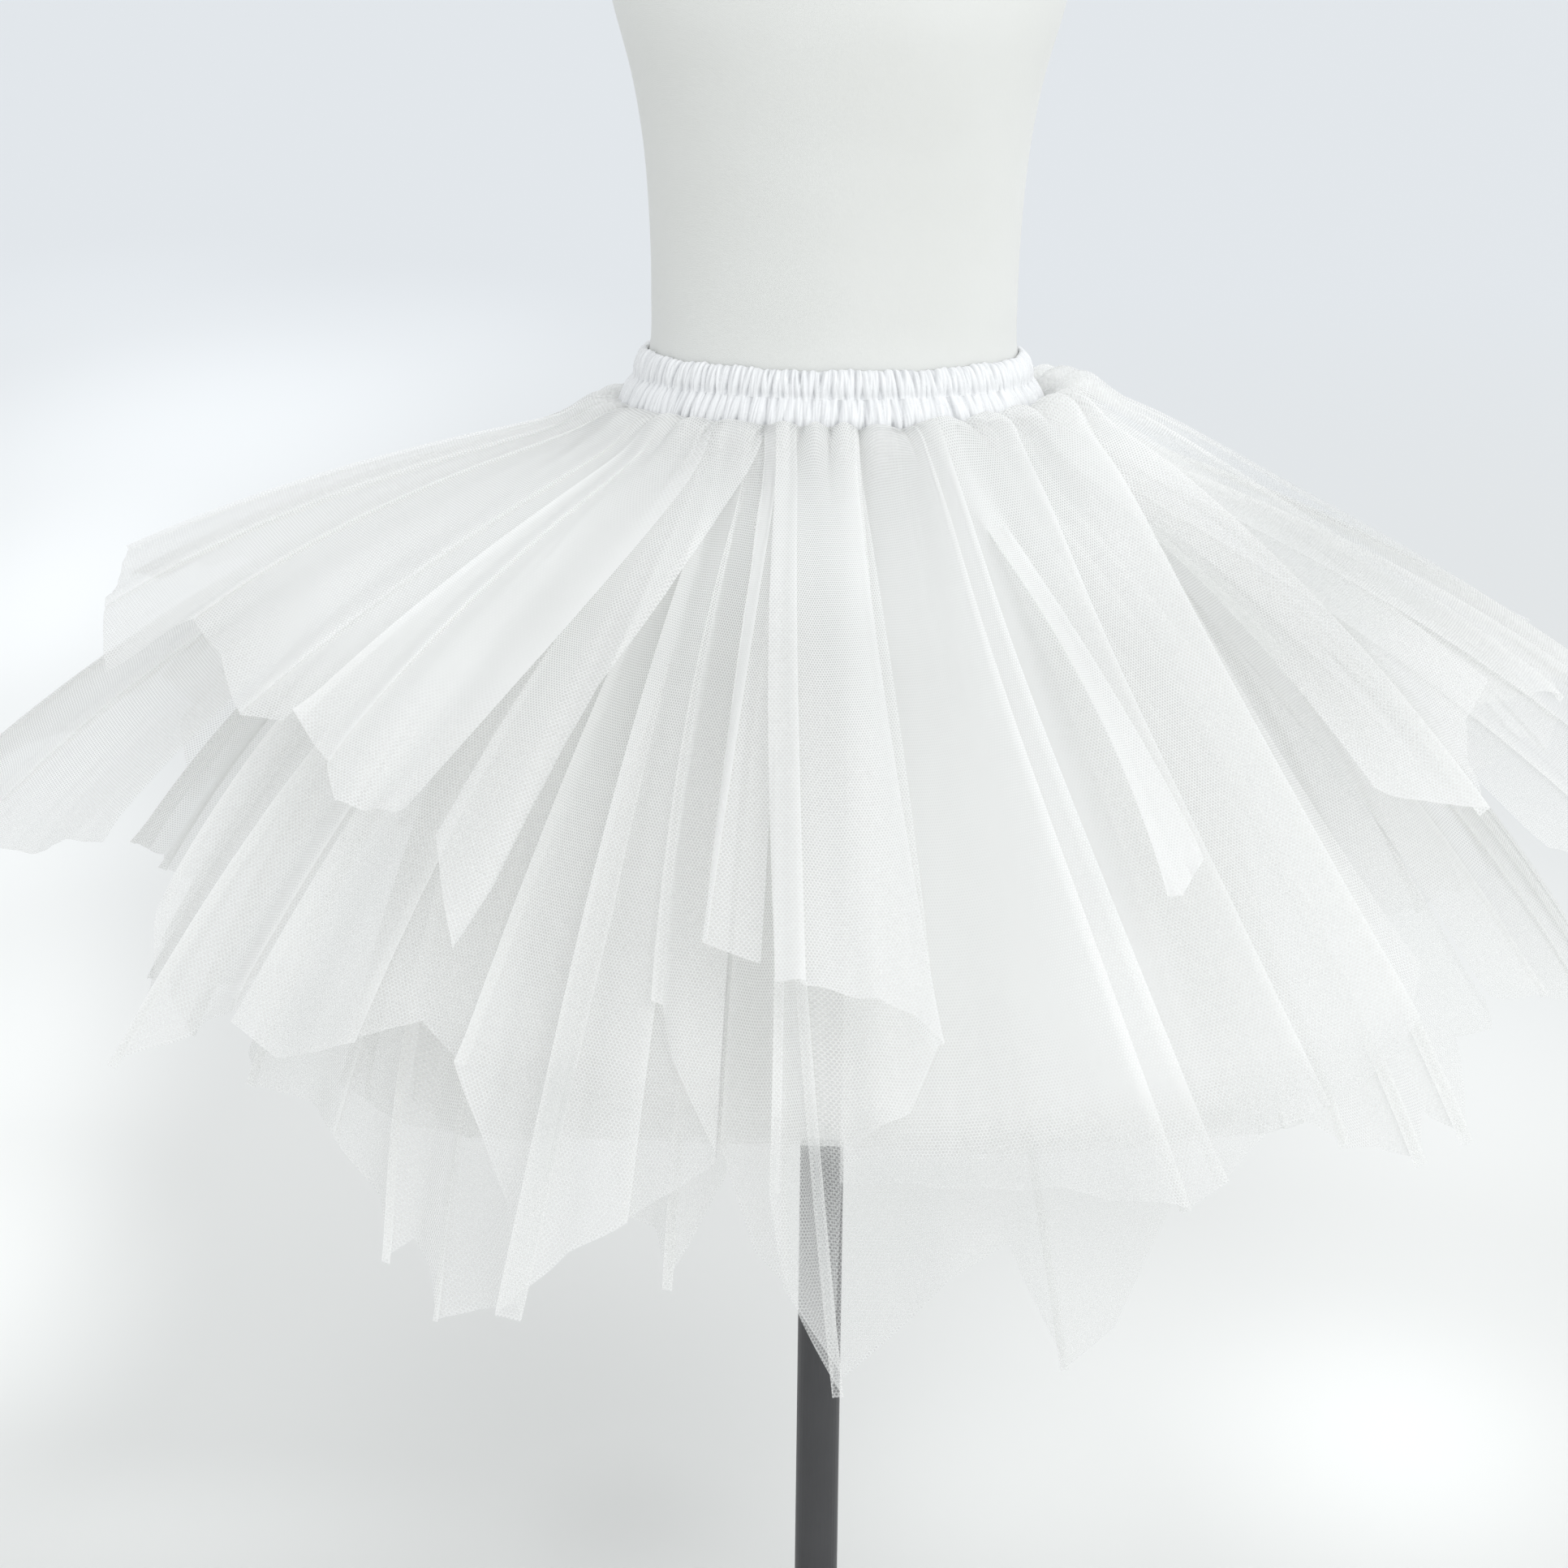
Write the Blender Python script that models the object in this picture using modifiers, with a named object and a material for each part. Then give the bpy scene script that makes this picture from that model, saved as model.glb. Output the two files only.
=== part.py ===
"""Layered tulle petticoat on a limbless dress form.

A satin waistband gathers two round underskirts and three tiers of pointed
tulle panels.  The skirt is worn by a smooth fabric-covered dress form on a
pole with a round foot.

Metres, +Z up.  The front faces -Y and the wearer's left hand side is at +X.
The origin is the middle of the foot's underside.  An azimuth is an angle
round the Z axis in degrees: 0 is the front, 90 is +X, 180 is the back.
"""

from collections import namedtuple
from math import cos, pi, radians, sin

import bmesh
import bpy

# ---------------------------------------------------------------- driving sizes
CLOTH_WALL = 0.0012
SEAM_GAP = 0.0003

BAND_BOTTOM_Z = 1.030
BAND_HEIGHT = 0.036
BAND_STITCH_HEIGHT = 0.018
BAND_GATHERS = 110

# The layers are sewn in under the band, each a step further out and higher.
LAYER_STEP = 0.0015
INNERMOST_SEAM_OFFSET = 0.0055
TOP_LAYER_DROP = 0.0011

# The cloth springs out at the seam: the rise of this puff and its length.
PUFF_HEIGHT = 0.046
PUFF_LENGTH = 0.66

# A fold has its full height at this length from the seam and grows towards it.
FOLD_FULL_LENGTH = 0.5
FOLD_GROWTH_POWER = 1.3

UNDERSKIRT_FOLDS = 14
PANEL_FOLDS = 2
COLUMNS_PER_FOLD = 4
MERIDIAN_STEPS = (0.0, 0.13, 0.32, 0.55, 0.79, 1.0)

# How unevenly the underskirts' flutes stand: share of height, degrees sideways.
FLUTE_HEIGHT_CHANGE = 0.15
FLUTE_SWAY = 2.0
LAYER_PHASE = 0.6

# A hem dips towards its corner, and a panel's sides lean, along these powers.
HEM_DIP_POWER = 1.25
LEAN_POWER = 0.6
SLIT_AT_SEAM = 0.6
SLIT_AT_HEM = 1.6

FORM_COLUMNS = 40
TURNED_COLUMNS = 40
POLE_COLUMNS = 32
POLE_DIAMETER = 0.029
FOOT_RADIUS = 0.190
FOOT_PLATE_HEIGHT = 0.012
HUB_RADIUS = 0.030
HUB_TOP_Z = 0.045

# ------------------------------------------------------------------ short tables
# The dress form's level sections, from its flat underside up to the neck.
Section = namedtuple("Section", "z half_width half_depth forward")
FORM_SECTIONS = (
    Section(0.795, 0.1480, 0.1000, 0.000),
    Section(0.803, 0.1570, 0.1085, 0.000),
    Section(0.830, 0.1630, 0.1145, 0.000),
    Section(0.880, 0.1640, 0.1160, 0.001),
    Section(0.930, 0.1590, 0.1130, 0.001),
    Section(0.980, 0.1460, 0.1060, 0.001),
    Section(1.030, 0.1280, 0.0970, 0.002),
    Section(1.066, 0.1180, 0.0910, 0.002),
    Section(1.100, 0.1170, 0.0890, 0.003),
    Section(1.145, 0.1182, 0.0910, 0.005),
    Section(1.195, 0.1220, 0.0965, 0.009),
    Section(1.240, 0.1295, 0.1030, 0.013),
    Section(1.287, 0.1420, 0.1080, 0.015),
    Section(1.330, 0.1520, 0.1070, 0.012),
    Section(1.375, 0.1620, 0.0980, 0.006),
    Section(1.410, 0.1680, 0.0860, 0.002),
    Section(1.432, 0.1600, 0.0750, 0.000),
    Section(1.450, 0.1280, 0.0670, 0.000),
    Section(1.466, 0.0900, 0.0610, 0.000),
    Section(1.485, 0.0630, 0.0560, 0.000),
    Section(1.520, 0.0550, 0.0540, 0.000),
    Section(1.550, 0.0560, 0.0550, 0.000),
)

# The waistband's level rows.  Offsets are measured outward from the form's
# section at the same height; gather is the height of the satin's ridges.
BandRow = namedtuple("BandRow", "height outer_offset gather")
BAND_ROWS = (
    BandRow(0.0000, 0.0112, 0.0024),
    BandRow(0.0095, 0.0112, 0.0022),
    BandRow(BAND_STITCH_HEIGHT, 0.0082, 0.0008),
    BandRow(0.0270, 0.0066, 0.0018),
    BandRow(BAND_HEIGHT, 0.0032, 0.0014),
)
BAND_INNER_BOTTOM_OFFSET = 0.0080
BAND_INNER_TOP_OFFSET = 0.0005

# Slow waves along the band that make the satin's ridges uneven.
Wave = namedtuple("Wave", "amount rate phase")
RIDGE_SPACING_WAVES = (Wave(0.22, 0.37, 0.0), Wave(0.18, 0.83, 1.0))
RIDGE_HEIGHT_WAVE = Wave(0.18, 0.61, 0.4)

# The neck cap's outline: radius and height above its seat, top to bottom.
Turn = namedtuple("Turn", "radius height")
NECK_CAP_OUTLINE = (
    Turn(0.000, 0.020), Turn(0.022, 0.018), Turn(0.040, 0.013),
    Turn(0.051, 0.006), Turn(0.052, 0.000), Turn(0.000, 0.000),
)

# The foot's outline above its flat underside, top to bottom.
FOOT_OUTLINE = (
    Turn(0.0, HUB_TOP_Z),
    Turn(HUB_RADIUS - 0.0025, HUB_TOP_Z),
    Turn(HUB_RADIUS, HUB_TOP_Z - 0.003),
    Turn(HUB_RADIUS + 0.002, FOOT_PLATE_HEIGHT + 0.012),
    Turn(HUB_RADIUS + 0.012, FOOT_PLATE_HEIGHT + 0.004),
    Turn(FOOT_RADIUS - 0.018, FOOT_PLATE_HEIGHT),
    Turn(FOOT_RADIUS - 0.006, FOOT_PLATE_HEIGHT - 0.003),
    Turn(FOOT_RADIUS, FOOT_PLATE_HEIGHT - 0.008),
    Turn(FOOT_RADIUS, 0.0),
    Turn(0.0, 0.0),
)

# How far below level each layer hangs, in degrees, innermost layer first.
Layer = namedtuple("Layer", "side front back fold_height")
LAYERS = {
    "underskirt_inner": Layer(78.0, 75.0, 74.5, 0.011),
    "underskirt_outer": Layer(72.5, 68.5, 68.0, 0.012),
    "low": Layer(48.0, 61.0, 58.5, 0.012),
    "mid": Layer(33.0, 53.0, 50.0, 0.012),
    "top": Layer(21.0, 45.0, 42.0, 0.012),
}
LAYER_ORDER = tuple(LAYERS)

# The underskirts' uneven hems: cloth length from the seam at each azimuth.
HemPoint = namedtuple("HemPoint", "azimuth reach")
UNDERSKIRT_HEMS = {
    "underskirt_inner": (
        HemPoint(-180, 0.450), HemPoint(-110, 0.465), HemPoint(-70, 0.470), HemPoint(-25, 0.440),
        HemPoint(15, 0.430), HemPoint(60, 0.465), HemPoint(95, 0.480), HemPoint(140, 0.455),
    ),
    "underskirt_outer": (
        HemPoint(-180, 0.465), HemPoint(-120, 0.480), HemPoint(-80, 0.475), HemPoint(-30, 0.460),
        HemPoint(10, 0.455), HemPoint(45, 0.495), HemPoint(85, 0.490), HemPoint(135, 0.470),
    ),
}

# Pointed panels.  Each row starts at its left edge, which is the next row's
# right edge less a narrow slit, and holds the azimuth of that edge at the seam
# and at the hem, the azimuth of the hanging corner, the cloth length at the
# left edge, the corner and the right edge, and how many degrees it is lifted.
Panel = namedtuple("Panel", "name seam_edge hem_edge corner reach_left reach_corner reach_right lift")
TIERS = {
    "low": (
        Panel("low_left", -100, -101, -82, 0.460, 0.530, 0.460, 0.0),
        Panel("low_left_front", -62, -59, -28, 0.480, 0.590, 0.470, 1.0),
        Panel("low_front_left", -27, -19, -13, 0.465, 0.545, 0.470, -1.0),
        Panel("low_front", -12, -7, 18, 0.485, 0.590, 0.475, 0.0),
        Panel("low_front_right", 30, 32, 48, 0.455, 0.530, 0.460, 1.0),
        Panel("low_right", 62, 64, 86, 0.460, 0.560, 0.470, 0.0),
        Panel("low_right_back", 104, 106, 128, 0.470, 0.560, 0.470, -1.0),
        Panel("low_back_right", 148, 150, 169, 0.465, 0.550, 0.470, 1.0),
        Panel("low_back_left", 190, 191, 208, 0.460, 0.560, 0.465, 0.0),
        Panel("low_left_back", 225, 226, 242, 0.465, 0.540, 0.460, 1.0),
    ),
    "mid": (
        Panel("mid_left", -113, -114, -87, 0.440, 0.600, 0.430, -1.5),
        Panel("mid_left_front", -73, -67, -51, 0.425, 0.545, 0.470, -1.0),
        Panel("mid_front_left", -48, -39, -22.5, 0.490, 0.600, 0.470, 0.0),
        Panel("mid_front", -18, -7, 0.5, 0.490, 0.625, 0.505, 0.5),
        Panel("mid_front_right", 5, 15, 42, 0.490, 0.545, 0.430, -1.0),
        Panel("mid_right", 54, 60, 84, 0.425, 0.580, 0.440, 1.0),
        Panel("mid_right_back", 104, 106, 124, 0.440, 0.530, 0.450, -1.0),
        Panel("mid_back_right", 140, 142, 157, 0.450, 0.570, 0.460, 0.5),
        Panel("mid_back_left", 175, 176, 194, 0.455, 0.550, 0.450, -1.0),
        Panel("mid_left_back", 211, 212, 229, 0.450, 0.570, 0.440, 0.5),
    ),
    "top": (
        Panel("top_left", -127, -128, -98, 0.360, 0.415, 0.360, 3.0),
        Panel("top_left_front", -88, -83, -76, 0.315, 0.340, 0.310, -1.0),
        Panel("top_front_left_outer", -60, -54, -46, 0.310, 0.350, 0.370, 0.5),
        Panel("top_front_left", -33, -29, -17, 0.370, 0.430, 0.375, -0.5),
        Panel("top_front", -13, -7, 7.5, 0.395, 0.450, 0.430, 1.0),
        Panel("top_front_right", 6, 11, 27, 0.385, 0.400, 0.350, -0.5),
        Panel("top_right_front", 33, 37, 52, 0.330, 0.390, 0.310, -3.0),
        Panel("top_right", 69, 73, 101, 0.330, 0.455, 0.390, -3.5),
        Panel("top_back_right", 120, 122, 139, 0.370, 0.440, 0.375, -1.0),
        Panel("top_back", 158, 160, 176, 0.370, 0.455, 0.380, 1.0),
        Panel("top_back_left", 196, 197, 213, 0.370, 0.430, 0.360, 0.0),
    ),
}

# Material colours: red, green, blue, roughness, metallic.
Finish = namedtuple("Finish", "colour roughness metallic")
FINISHES = {
    "tulle": Finish((0.90, 0.91, 0.90), 0.75, 0.0),
    "satin": Finish((0.93, 0.94, 0.94), 0.32, 0.0),
    "form_cover": Finish((0.86, 0.87, 0.84), 0.85, 0.0),
    "stand": Finish((0.075, 0.075, 0.08), 0.45, 0.3),
}


# ------------------------------------------------------------------- small tools
def interpolate(low, high, share):
    """Straight blend between two numbers."""
    return low + (high - low) * share


def smooth_blend(before, low, high, after, share):
    """Catmull-Rom blend between low and high."""
    slope_low = (high - before) / 2.0
    slope_high = (after - low) / 2.0
    share2 = share * share
    share3 = share2 * share
    return (
        (2 * share3 - 3 * share2 + 1) * low
        + (share3 - 2 * share2 + share) * slope_low
        + (3 * share2 - 2 * share3) * high
        + (share3 - share2) * slope_high
    )


def make_material(name):
    """A Principled material with one of the named finishes."""
    finish = FINISHES[name]
    material = bpy.data.materials.new(name)
    material.use_nodes = True
    shader = material.node_tree.nodes["Principled BSDF"]
    shader.inputs["Base Color"].default_value = (*finish.colour, 1.0)
    shader.inputs["Roughness"].default_value = finish.roughness
    shader.inputs["Metallic"].default_value = finish.metallic
    return material


def add_object(name, mesh, material, collection):
    """Link a mesh into the part's collection as one named, smooth piece."""
    obj = bpy.data.objects.new(name, mesh)
    mesh.materials.append(material)
    mesh.shade_smooth()
    collection.objects.link(obj)
    return obj


def grid_faces(columns, rows, closed):
    """Quads of a grid whose points are stored column after column."""
    faces = []
    for column in range(columns if closed else columns - 1):
        following = (column + 1) % columns
        for row in range(rows - 1):
            faces.append((
                column * rows + row,
                column * rows + row + 1,
                following * rows + row + 1,
                following * rows + row,
            ))
    return faces


# -------------------------------------------------------------------- dress form
def form_section(z):
    """Half width, half depth and forward shift of the dress form at a height."""
    last = len(FORM_SECTIONS) - 1
    index = 0
    while index < last - 1 and FORM_SECTIONS[index + 1].z < z:
        index += 1
    low = FORM_SECTIONS[index]
    high = FORM_SECTIONS[index + 1]
    before = FORM_SECTIONS[max(index - 1, 0)]
    after = FORM_SECTIONS[min(index + 2, last)]
    share = (z - low.z) / (high.z - low.z)
    return tuple(
        smooth_blend(before[field], low[field], high[field], after[field], share)
        for field in (1, 2, 3)
    )


def ring_point(azimuth, z, offset):
    """A point level with z, a given distance outside the dress form."""
    half_width, half_depth, forward = form_section(z)
    angle = radians(azimuth)
    return (
        (half_width + offset) * sin(angle),
        -(half_depth + offset) * cos(angle) - forward,
        z,
    )


def build_torso(material, collection):
    """Loft the torso through its sections and close it with two flat ends."""
    heights = [section.z for section in FORM_SECTIONS]
    points = []
    for column in range(FORM_COLUMNS):
        azimuth = 360.0 * column / FORM_COLUMNS
        for z in heights:
            points.append(ring_point(azimuth, z, 0.0))
    rows = len(heights)
    faces = [tuple(reversed(face)) for face in grid_faces(FORM_COLUMNS, rows, True)]
    faces.append(tuple(column * rows for column in reversed(range(FORM_COLUMNS))))
    faces.append(tuple(column * rows + rows - 1 for column in range(FORM_COLUMNS)))
    mesh = bpy.data.meshes.new("dress_form")
    mesh.from_pydata(points, [], faces)
    return add_object("dress_form", mesh, material, collection)


def turned_piece(name, outline, foot_z, material, collection):
    """Turn an outline, top to bottom, round the Z axis above a height."""
    mesh = bpy.data.meshes.new(name)
    points = [(turn.radius, 0.0, foot_z + turn.height) for turn in outline]
    edges = [(index, index + 1) for index in range(len(points) - 1)]
    mesh.from_pydata(points, edges, [])
    obj = add_object(name, mesh, material, collection)
    screw = obj.modifiers.new("turn", "SCREW")
    screw.steps = TURNED_COLUMNS
    screw.render_steps = TURNED_COLUMNS
    screw.use_merge_vertices = True
    screw.merge_threshold = 0.00001
    return obj


def build_pole(material, collection):
    """The straight pole from the foot's hub to the torso's underside."""
    low = HUB_TOP_Z + SEAM_GAP
    high = FORM_SECTIONS[0].z - SEAM_GAP
    mesh = bpy.data.meshes.new("stand_pole")
    work = bmesh.new()
    bmesh.ops.create_cone(
        work,
        cap_ends=True,
        segments=POLE_COLUMNS,
        radius1=POLE_DIAMETER / 2,
        radius2=POLE_DIAMETER / 2,
        depth=high - low,
    )
    work.to_mesh(mesh)
    work.free()
    obj = add_object("stand_pole", mesh, material, collection)
    obj.location = (0.0, 0.0, (low + high) / 2)
    return obj


# --------------------------------------------------------------------- waistband
def wave_at(wave, column):
    """A slow wave's value at one column of the band."""
    return wave.amount * sin(wave.rate * column + wave.phase)


def band_inner_point(azimuth, at_top):
    """A point of the waistband's plain inside."""
    if at_top:
        return ring_point(azimuth, BAND_BOTTOM_Z + BAND_HEIGHT, BAND_INNER_TOP_OFFSET)
    return ring_point(azimuth, BAND_BOTTOM_Z, BAND_INNER_BOTTOM_OFFSET)


def build_waistband(material, collection):
    """A satin casing: gathered ridges outside, plain inside, stitched midway."""
    columns = BAND_GATHERS * 2
    rows = len(BAND_ROWS) + 2
    points = []
    for column in range(columns):
        spacing = sum(wave_at(wave, column) for wave in RIDGE_SPACING_WAVES)
        azimuth = 360.0 * (column + spacing) / columns
        ridge = (column % 2) * (1.0 - RIDGE_HEIGHT_WAVE.amount + wave_at(RIDGE_HEIGHT_WAVE, column))
        points.append(band_inner_point(azimuth, False))
        for row in BAND_ROWS:
            offset = row.outer_offset + row.gather * ridge
            points.append(ring_point(azimuth, BAND_BOTTOM_Z + row.height, offset))
        points.append(band_inner_point(azimuth, True))
    faces = []
    for column in range(columns):
        following = (column + 1) % columns
        for row in range(rows):
            above = (row + 1) % rows
            faces.append((
                column * rows + row,
                following * rows + row,
                following * rows + above,
                column * rows + above,
            ))
    mesh = bpy.data.meshes.new("waistband")
    mesh.from_pydata(points, [], faces)
    return add_object("waistband", mesh, material, collection)


# ------------------------------------------------------------------------- cloth
def hang_angle(layer_name, azimuth, lift):
    """How far below level a layer hangs at an azimuth, in radians."""
    layer = LAYERS[layer_name]
    facing = cos(radians(azimuth))
    end = layer.front if facing > 0.0 else layer.back
    return radians(interpolate(layer.side, end, facing * facing) - lift)


def cloth_point(layer_name, azimuth, length, lift, ridge):
    """A point of a layer, a length of cloth below its seam.

    The cloth leaves the seam in a soft puff and then hangs.  ridge, from -1
    to 1, is the place on a fold, whose height grows towards the hem.
    """
    layer = LAYERS[layer_name]
    level = LAYER_ORDER.index(layer_name)
    seam_offset = INNERMOST_SEAM_OFFSET + LAYER_STEP * level
    layers_above = len(LAYER_ORDER) - 1 - level
    seam_z = BAND_BOTTOM_Z - TOP_LAYER_DROP - LAYER_STEP * layers_above
    half_width, half_depth, forward = form_section(BAND_BOTTOM_Z)
    angle = radians(azimuth)
    below = hang_angle(layer_name, azimuth, lift)
    growth = (length / FOLD_FULL_LENGTH) ** FOLD_GROWTH_POWER
    raised = PUFF_HEIGHT * sin(pi * length / PUFF_LENGTH) + layer.fold_height * growth * ridge
    outward = length * cos(below) + raised * sin(below)
    drop = length * sin(below) - raised * cos(below)
    return (
        (half_width + seam_offset + outward) * sin(angle),
        -(half_depth + seam_offset + outward) * cos(angle) - forward,
        seam_z - drop,
    )


def add_sheet(name, points, columns, closed, material, collection):
    """Give a grid of cloth points its wall."""
    mesh = bpy.data.meshes.new(name)
    mesh.from_pydata(points, [], grid_faces(columns, len(MERIDIAN_STEPS), closed))
    obj = add_object(name, mesh, material, collection)
    wall = obj.modifiers.new("wall", "SOLIDIFY")
    wall.thickness = CLOTH_WALL
    wall.offset = 0.0
    wall.use_even_offset = False
    return obj


def hem_reach(hem, azimuth):
    """Cloth length at an azimuth of a closed hem, blended smoothly."""
    count = len(hem)
    for index in range(count):
        start = hem[index].azimuth
        end = hem[(index + 1) % count].azimuth
        span = (end - start) % 360.0
        along = (azimuth - start) % 360.0
        if along < span:
            return smooth_blend(
                hem[index - 1].reach,
                hem[index].reach,
                hem[(index + 1) % count].reach,
                hem[(index + 2) % count].reach,
                along / span,
            )
    return hem[0].reach


def build_underskirt(name, material, collection):
    """A round gathered underskirt with an even row of soft flutes."""
    columns = UNDERSKIRT_FOLDS * COLUMNS_PER_FOLD
    phase = LAYER_PHASE * LAYER_ORDER.index(name)
    points = []
    for column in range(columns):
        azimuth = 360.0 * column / columns
        turn = 2.0 * pi * column / COLUMNS_PER_FOLD
        unevenness = FLUTE_HEIGHT_CHANGE * sin(3.0 * radians(azimuth) + phase)
        ridge = cos(turn) * (1.0 - FLUTE_HEIGHT_CHANGE + unevenness)
        azimuth += FLUTE_SWAY * sin(2.0 * radians(azimuth) + phase)
        reach = hem_reach(UNDERSKIRT_HEMS[name], azimuth)
        for step in MERIDIAN_STEPS:
            points.append(cloth_point(name, azimuth, reach * step, 0.0, ridge))
    return add_sheet(name, points, columns, True, material, collection)


def build_panel(tier, panel, following, material, collection):
    """One pointed panel, with a fold to its corner and one to each side."""
    turn_back = 360.0 if following.seam_edge <= panel.seam_edge else 0.0
    seam_end = following.seam_edge + turn_back - SLIT_AT_SEAM
    hem_end = following.hem_edge + turn_back - SLIT_AT_HEM
    corner_share = (panel.corner - panel.hem_edge) / (hem_end - panel.hem_edge)
    columns = PANEL_FOLDS * COLUMNS_PER_FOLD
    left_columns = min(max(round(columns * corner_share), 2), columns - 2)
    points = []
    for column in range(columns + 1):
        if column <= left_columns:
            along = column / left_columns
            share = corner_share * along
            reach = interpolate(panel.reach_left, panel.reach_corner, along ** HEM_DIP_POWER)
        else:
            along = (column - left_columns) / (columns - left_columns)
            share = interpolate(corner_share, 1.0, along)
            rise = 1.0 - (1.0 - along) ** HEM_DIP_POWER
            reach = interpolate(panel.reach_corner, panel.reach_right, rise)
        ridge = cos(2.0 * pi * (column - left_columns) / COLUMNS_PER_FOLD)
        seam_azimuth = interpolate(panel.seam_edge, seam_end, share)
        hem_azimuth = interpolate(panel.hem_edge, hem_end, share)
        for step in MERIDIAN_STEPS:
            azimuth = interpolate(seam_azimuth, hem_azimuth, step ** LEAN_POWER)
            points.append(cloth_point(tier, azimuth, reach * step, panel.lift, ridge))
    return add_sheet(panel.name, points, columns + 1, False, material, collection)


def main():
    """Build the whole part in one collection."""
    for old in list(bpy.data.objects):
        bpy.data.objects.remove(old, do_unlink=True)
    collection = bpy.data.collections.new("tulle_skirt_on_dress_form")
    bpy.context.scene.collection.children.link(collection)
    materials = {name: make_material(name) for name in FINISHES}

    build_torso(materials["form_cover"], collection)
    neck_z = FORM_SECTIONS[-1].z + SEAM_GAP
    turned_piece("neck_cap", NECK_CAP_OUTLINE, neck_z, materials["form_cover"], collection)
    build_pole(materials["stand"], collection)
    turned_piece("stand_foot", FOOT_OUTLINE, 0.0, materials["stand"], collection)
    build_waistband(materials["satin"], collection)
    for name in UNDERSKIRT_HEMS:
        build_underskirt(name, materials["tulle"], collection)
    for tier, panels in TIERS.items():
        for index, panel in enumerate(panels):
            following = panels[(index + 1) % len(panels)]
            build_panel(tier, panel, following, materials["tulle"], collection)


main()
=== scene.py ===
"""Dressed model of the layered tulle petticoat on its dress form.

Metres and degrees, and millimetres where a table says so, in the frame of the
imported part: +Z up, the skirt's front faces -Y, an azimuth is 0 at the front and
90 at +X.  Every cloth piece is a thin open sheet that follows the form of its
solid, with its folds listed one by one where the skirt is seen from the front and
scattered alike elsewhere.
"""
import math
from collections import namedtuple

import bmesh
import bpy
import numpy as np
from mathutils import Matrix, Vector


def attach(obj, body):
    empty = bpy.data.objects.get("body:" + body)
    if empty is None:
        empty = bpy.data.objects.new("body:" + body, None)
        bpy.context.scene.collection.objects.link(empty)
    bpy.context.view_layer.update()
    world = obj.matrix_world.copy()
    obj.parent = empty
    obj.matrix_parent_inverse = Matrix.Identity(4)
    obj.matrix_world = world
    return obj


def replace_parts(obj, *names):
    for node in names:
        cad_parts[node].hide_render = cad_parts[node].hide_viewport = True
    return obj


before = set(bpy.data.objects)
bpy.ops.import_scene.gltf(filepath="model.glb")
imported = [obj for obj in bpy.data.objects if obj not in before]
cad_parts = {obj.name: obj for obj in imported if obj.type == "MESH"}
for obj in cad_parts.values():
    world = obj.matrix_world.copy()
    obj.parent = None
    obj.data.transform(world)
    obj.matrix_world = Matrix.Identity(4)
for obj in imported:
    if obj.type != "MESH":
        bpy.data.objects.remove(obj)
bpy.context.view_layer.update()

TURN = 2.0 * math.pi


def table(kind, *rows):
    """Rows of values as named tuples of one kind."""
    return tuple(kind(*row) for row in rows)


def tables(kind, **groups):
    """A table of one kind for each name."""
    return {name: table(kind, *rows) for name, rows in groups.items()}


def lengths(kind, *rows):
    """Rows of lengths in millimetres as named tuples in metres."""
    return tuple(kind(*(value / 1000.0 for value in row)) for row in rows)


# ---- sizes of the part
BAND_BOTTOM_Z = 1.030
LAYER_STEP = 0.0015
INNERMOST_SEAM_OFFSET = 0.0055
TOP_LAYER_DROP = 0.0011
PUFF_HEIGHT = 0.046
PUFF_LENGTH = 0.66
FOLD_FULL_LENGTH = 0.5
FOLD_GROWTH_POWER = 1.3
UNDERSKIRT_FOLDS = 14
FLUTE_HEIGHT_CHANGE = 0.15
FLUTE_SWAY = 2.0
LAYER_PHASE = 0.6
HEM_DIP_POWER = 1.25
LEAN_POWER = 0.6
SLIT_AT_SEAM = 0.6
SLIT_AT_HEM = 1.6

Section = namedtuple("Section", "z half_width half_depth forward")
FORM_SECTIONS = lengths(
    Section,
    (795, 148, 100, 0), (803, 157, 108.5, 0), (830, 163, 114.5, 0), (880, 164, 116, 1), (930, 159, 113, 1),
    (980, 146, 106, 1), (1030, 128, 97, 2), (1066, 118, 91, 2), (1100, 117, 89, 3), (1145, 118.2, 91, 5),
    (1195, 122, 96.5, 9), (1240, 129.5, 103, 13), (1287, 142, 108, 15), (1330, 152, 107, 12),
    (1375, 162, 98, 6), (1410, 168, 86, 2), (1432, 160, 75, 0), (1450, 128, 67, 0), (1466, 90, 61, 0),
    (1485, 63, 56, 0), (1520, 55, 54, 0), (1550, 56, 55, 0),
)

# How far below level the layers hang at the sides, in front and behind.
Layer = namedtuple("Layer", "side front back")
LAYERS = {
    "underskirt_inner": Layer(78.0, 75.0, 74.5),
    "underskirt_outer": Layer(72.5, 68.5, 68.0),
    "low": Layer(48.0, 61.0, 58.5),
    "mid": Layer(33.0, 53.0, 50.0),
    "top": Layer(21.0, 45.0, 42.0),
}
LAYER_ORDER = tuple(LAYERS)

# Cloth lengths in millimetres round the underskirts' hems.
HemPoint = namedtuple("HemPoint", "azimuth reach")
UNDERSKIRT_HEMS = tables(
    HemPoint,
    underskirt_inner=(
        (-180, 450), (-110, 465), (-70, 470), (-25, 440), (15, 430), (60, 465), (95, 480), (140, 455),
    ),
    underskirt_outer=(
        (-180, 465), (-120, 480), (-80, 475), (-30, 450), (5, 440), (40, 457), (85, 490), (135, 470),
    ),
)

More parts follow.
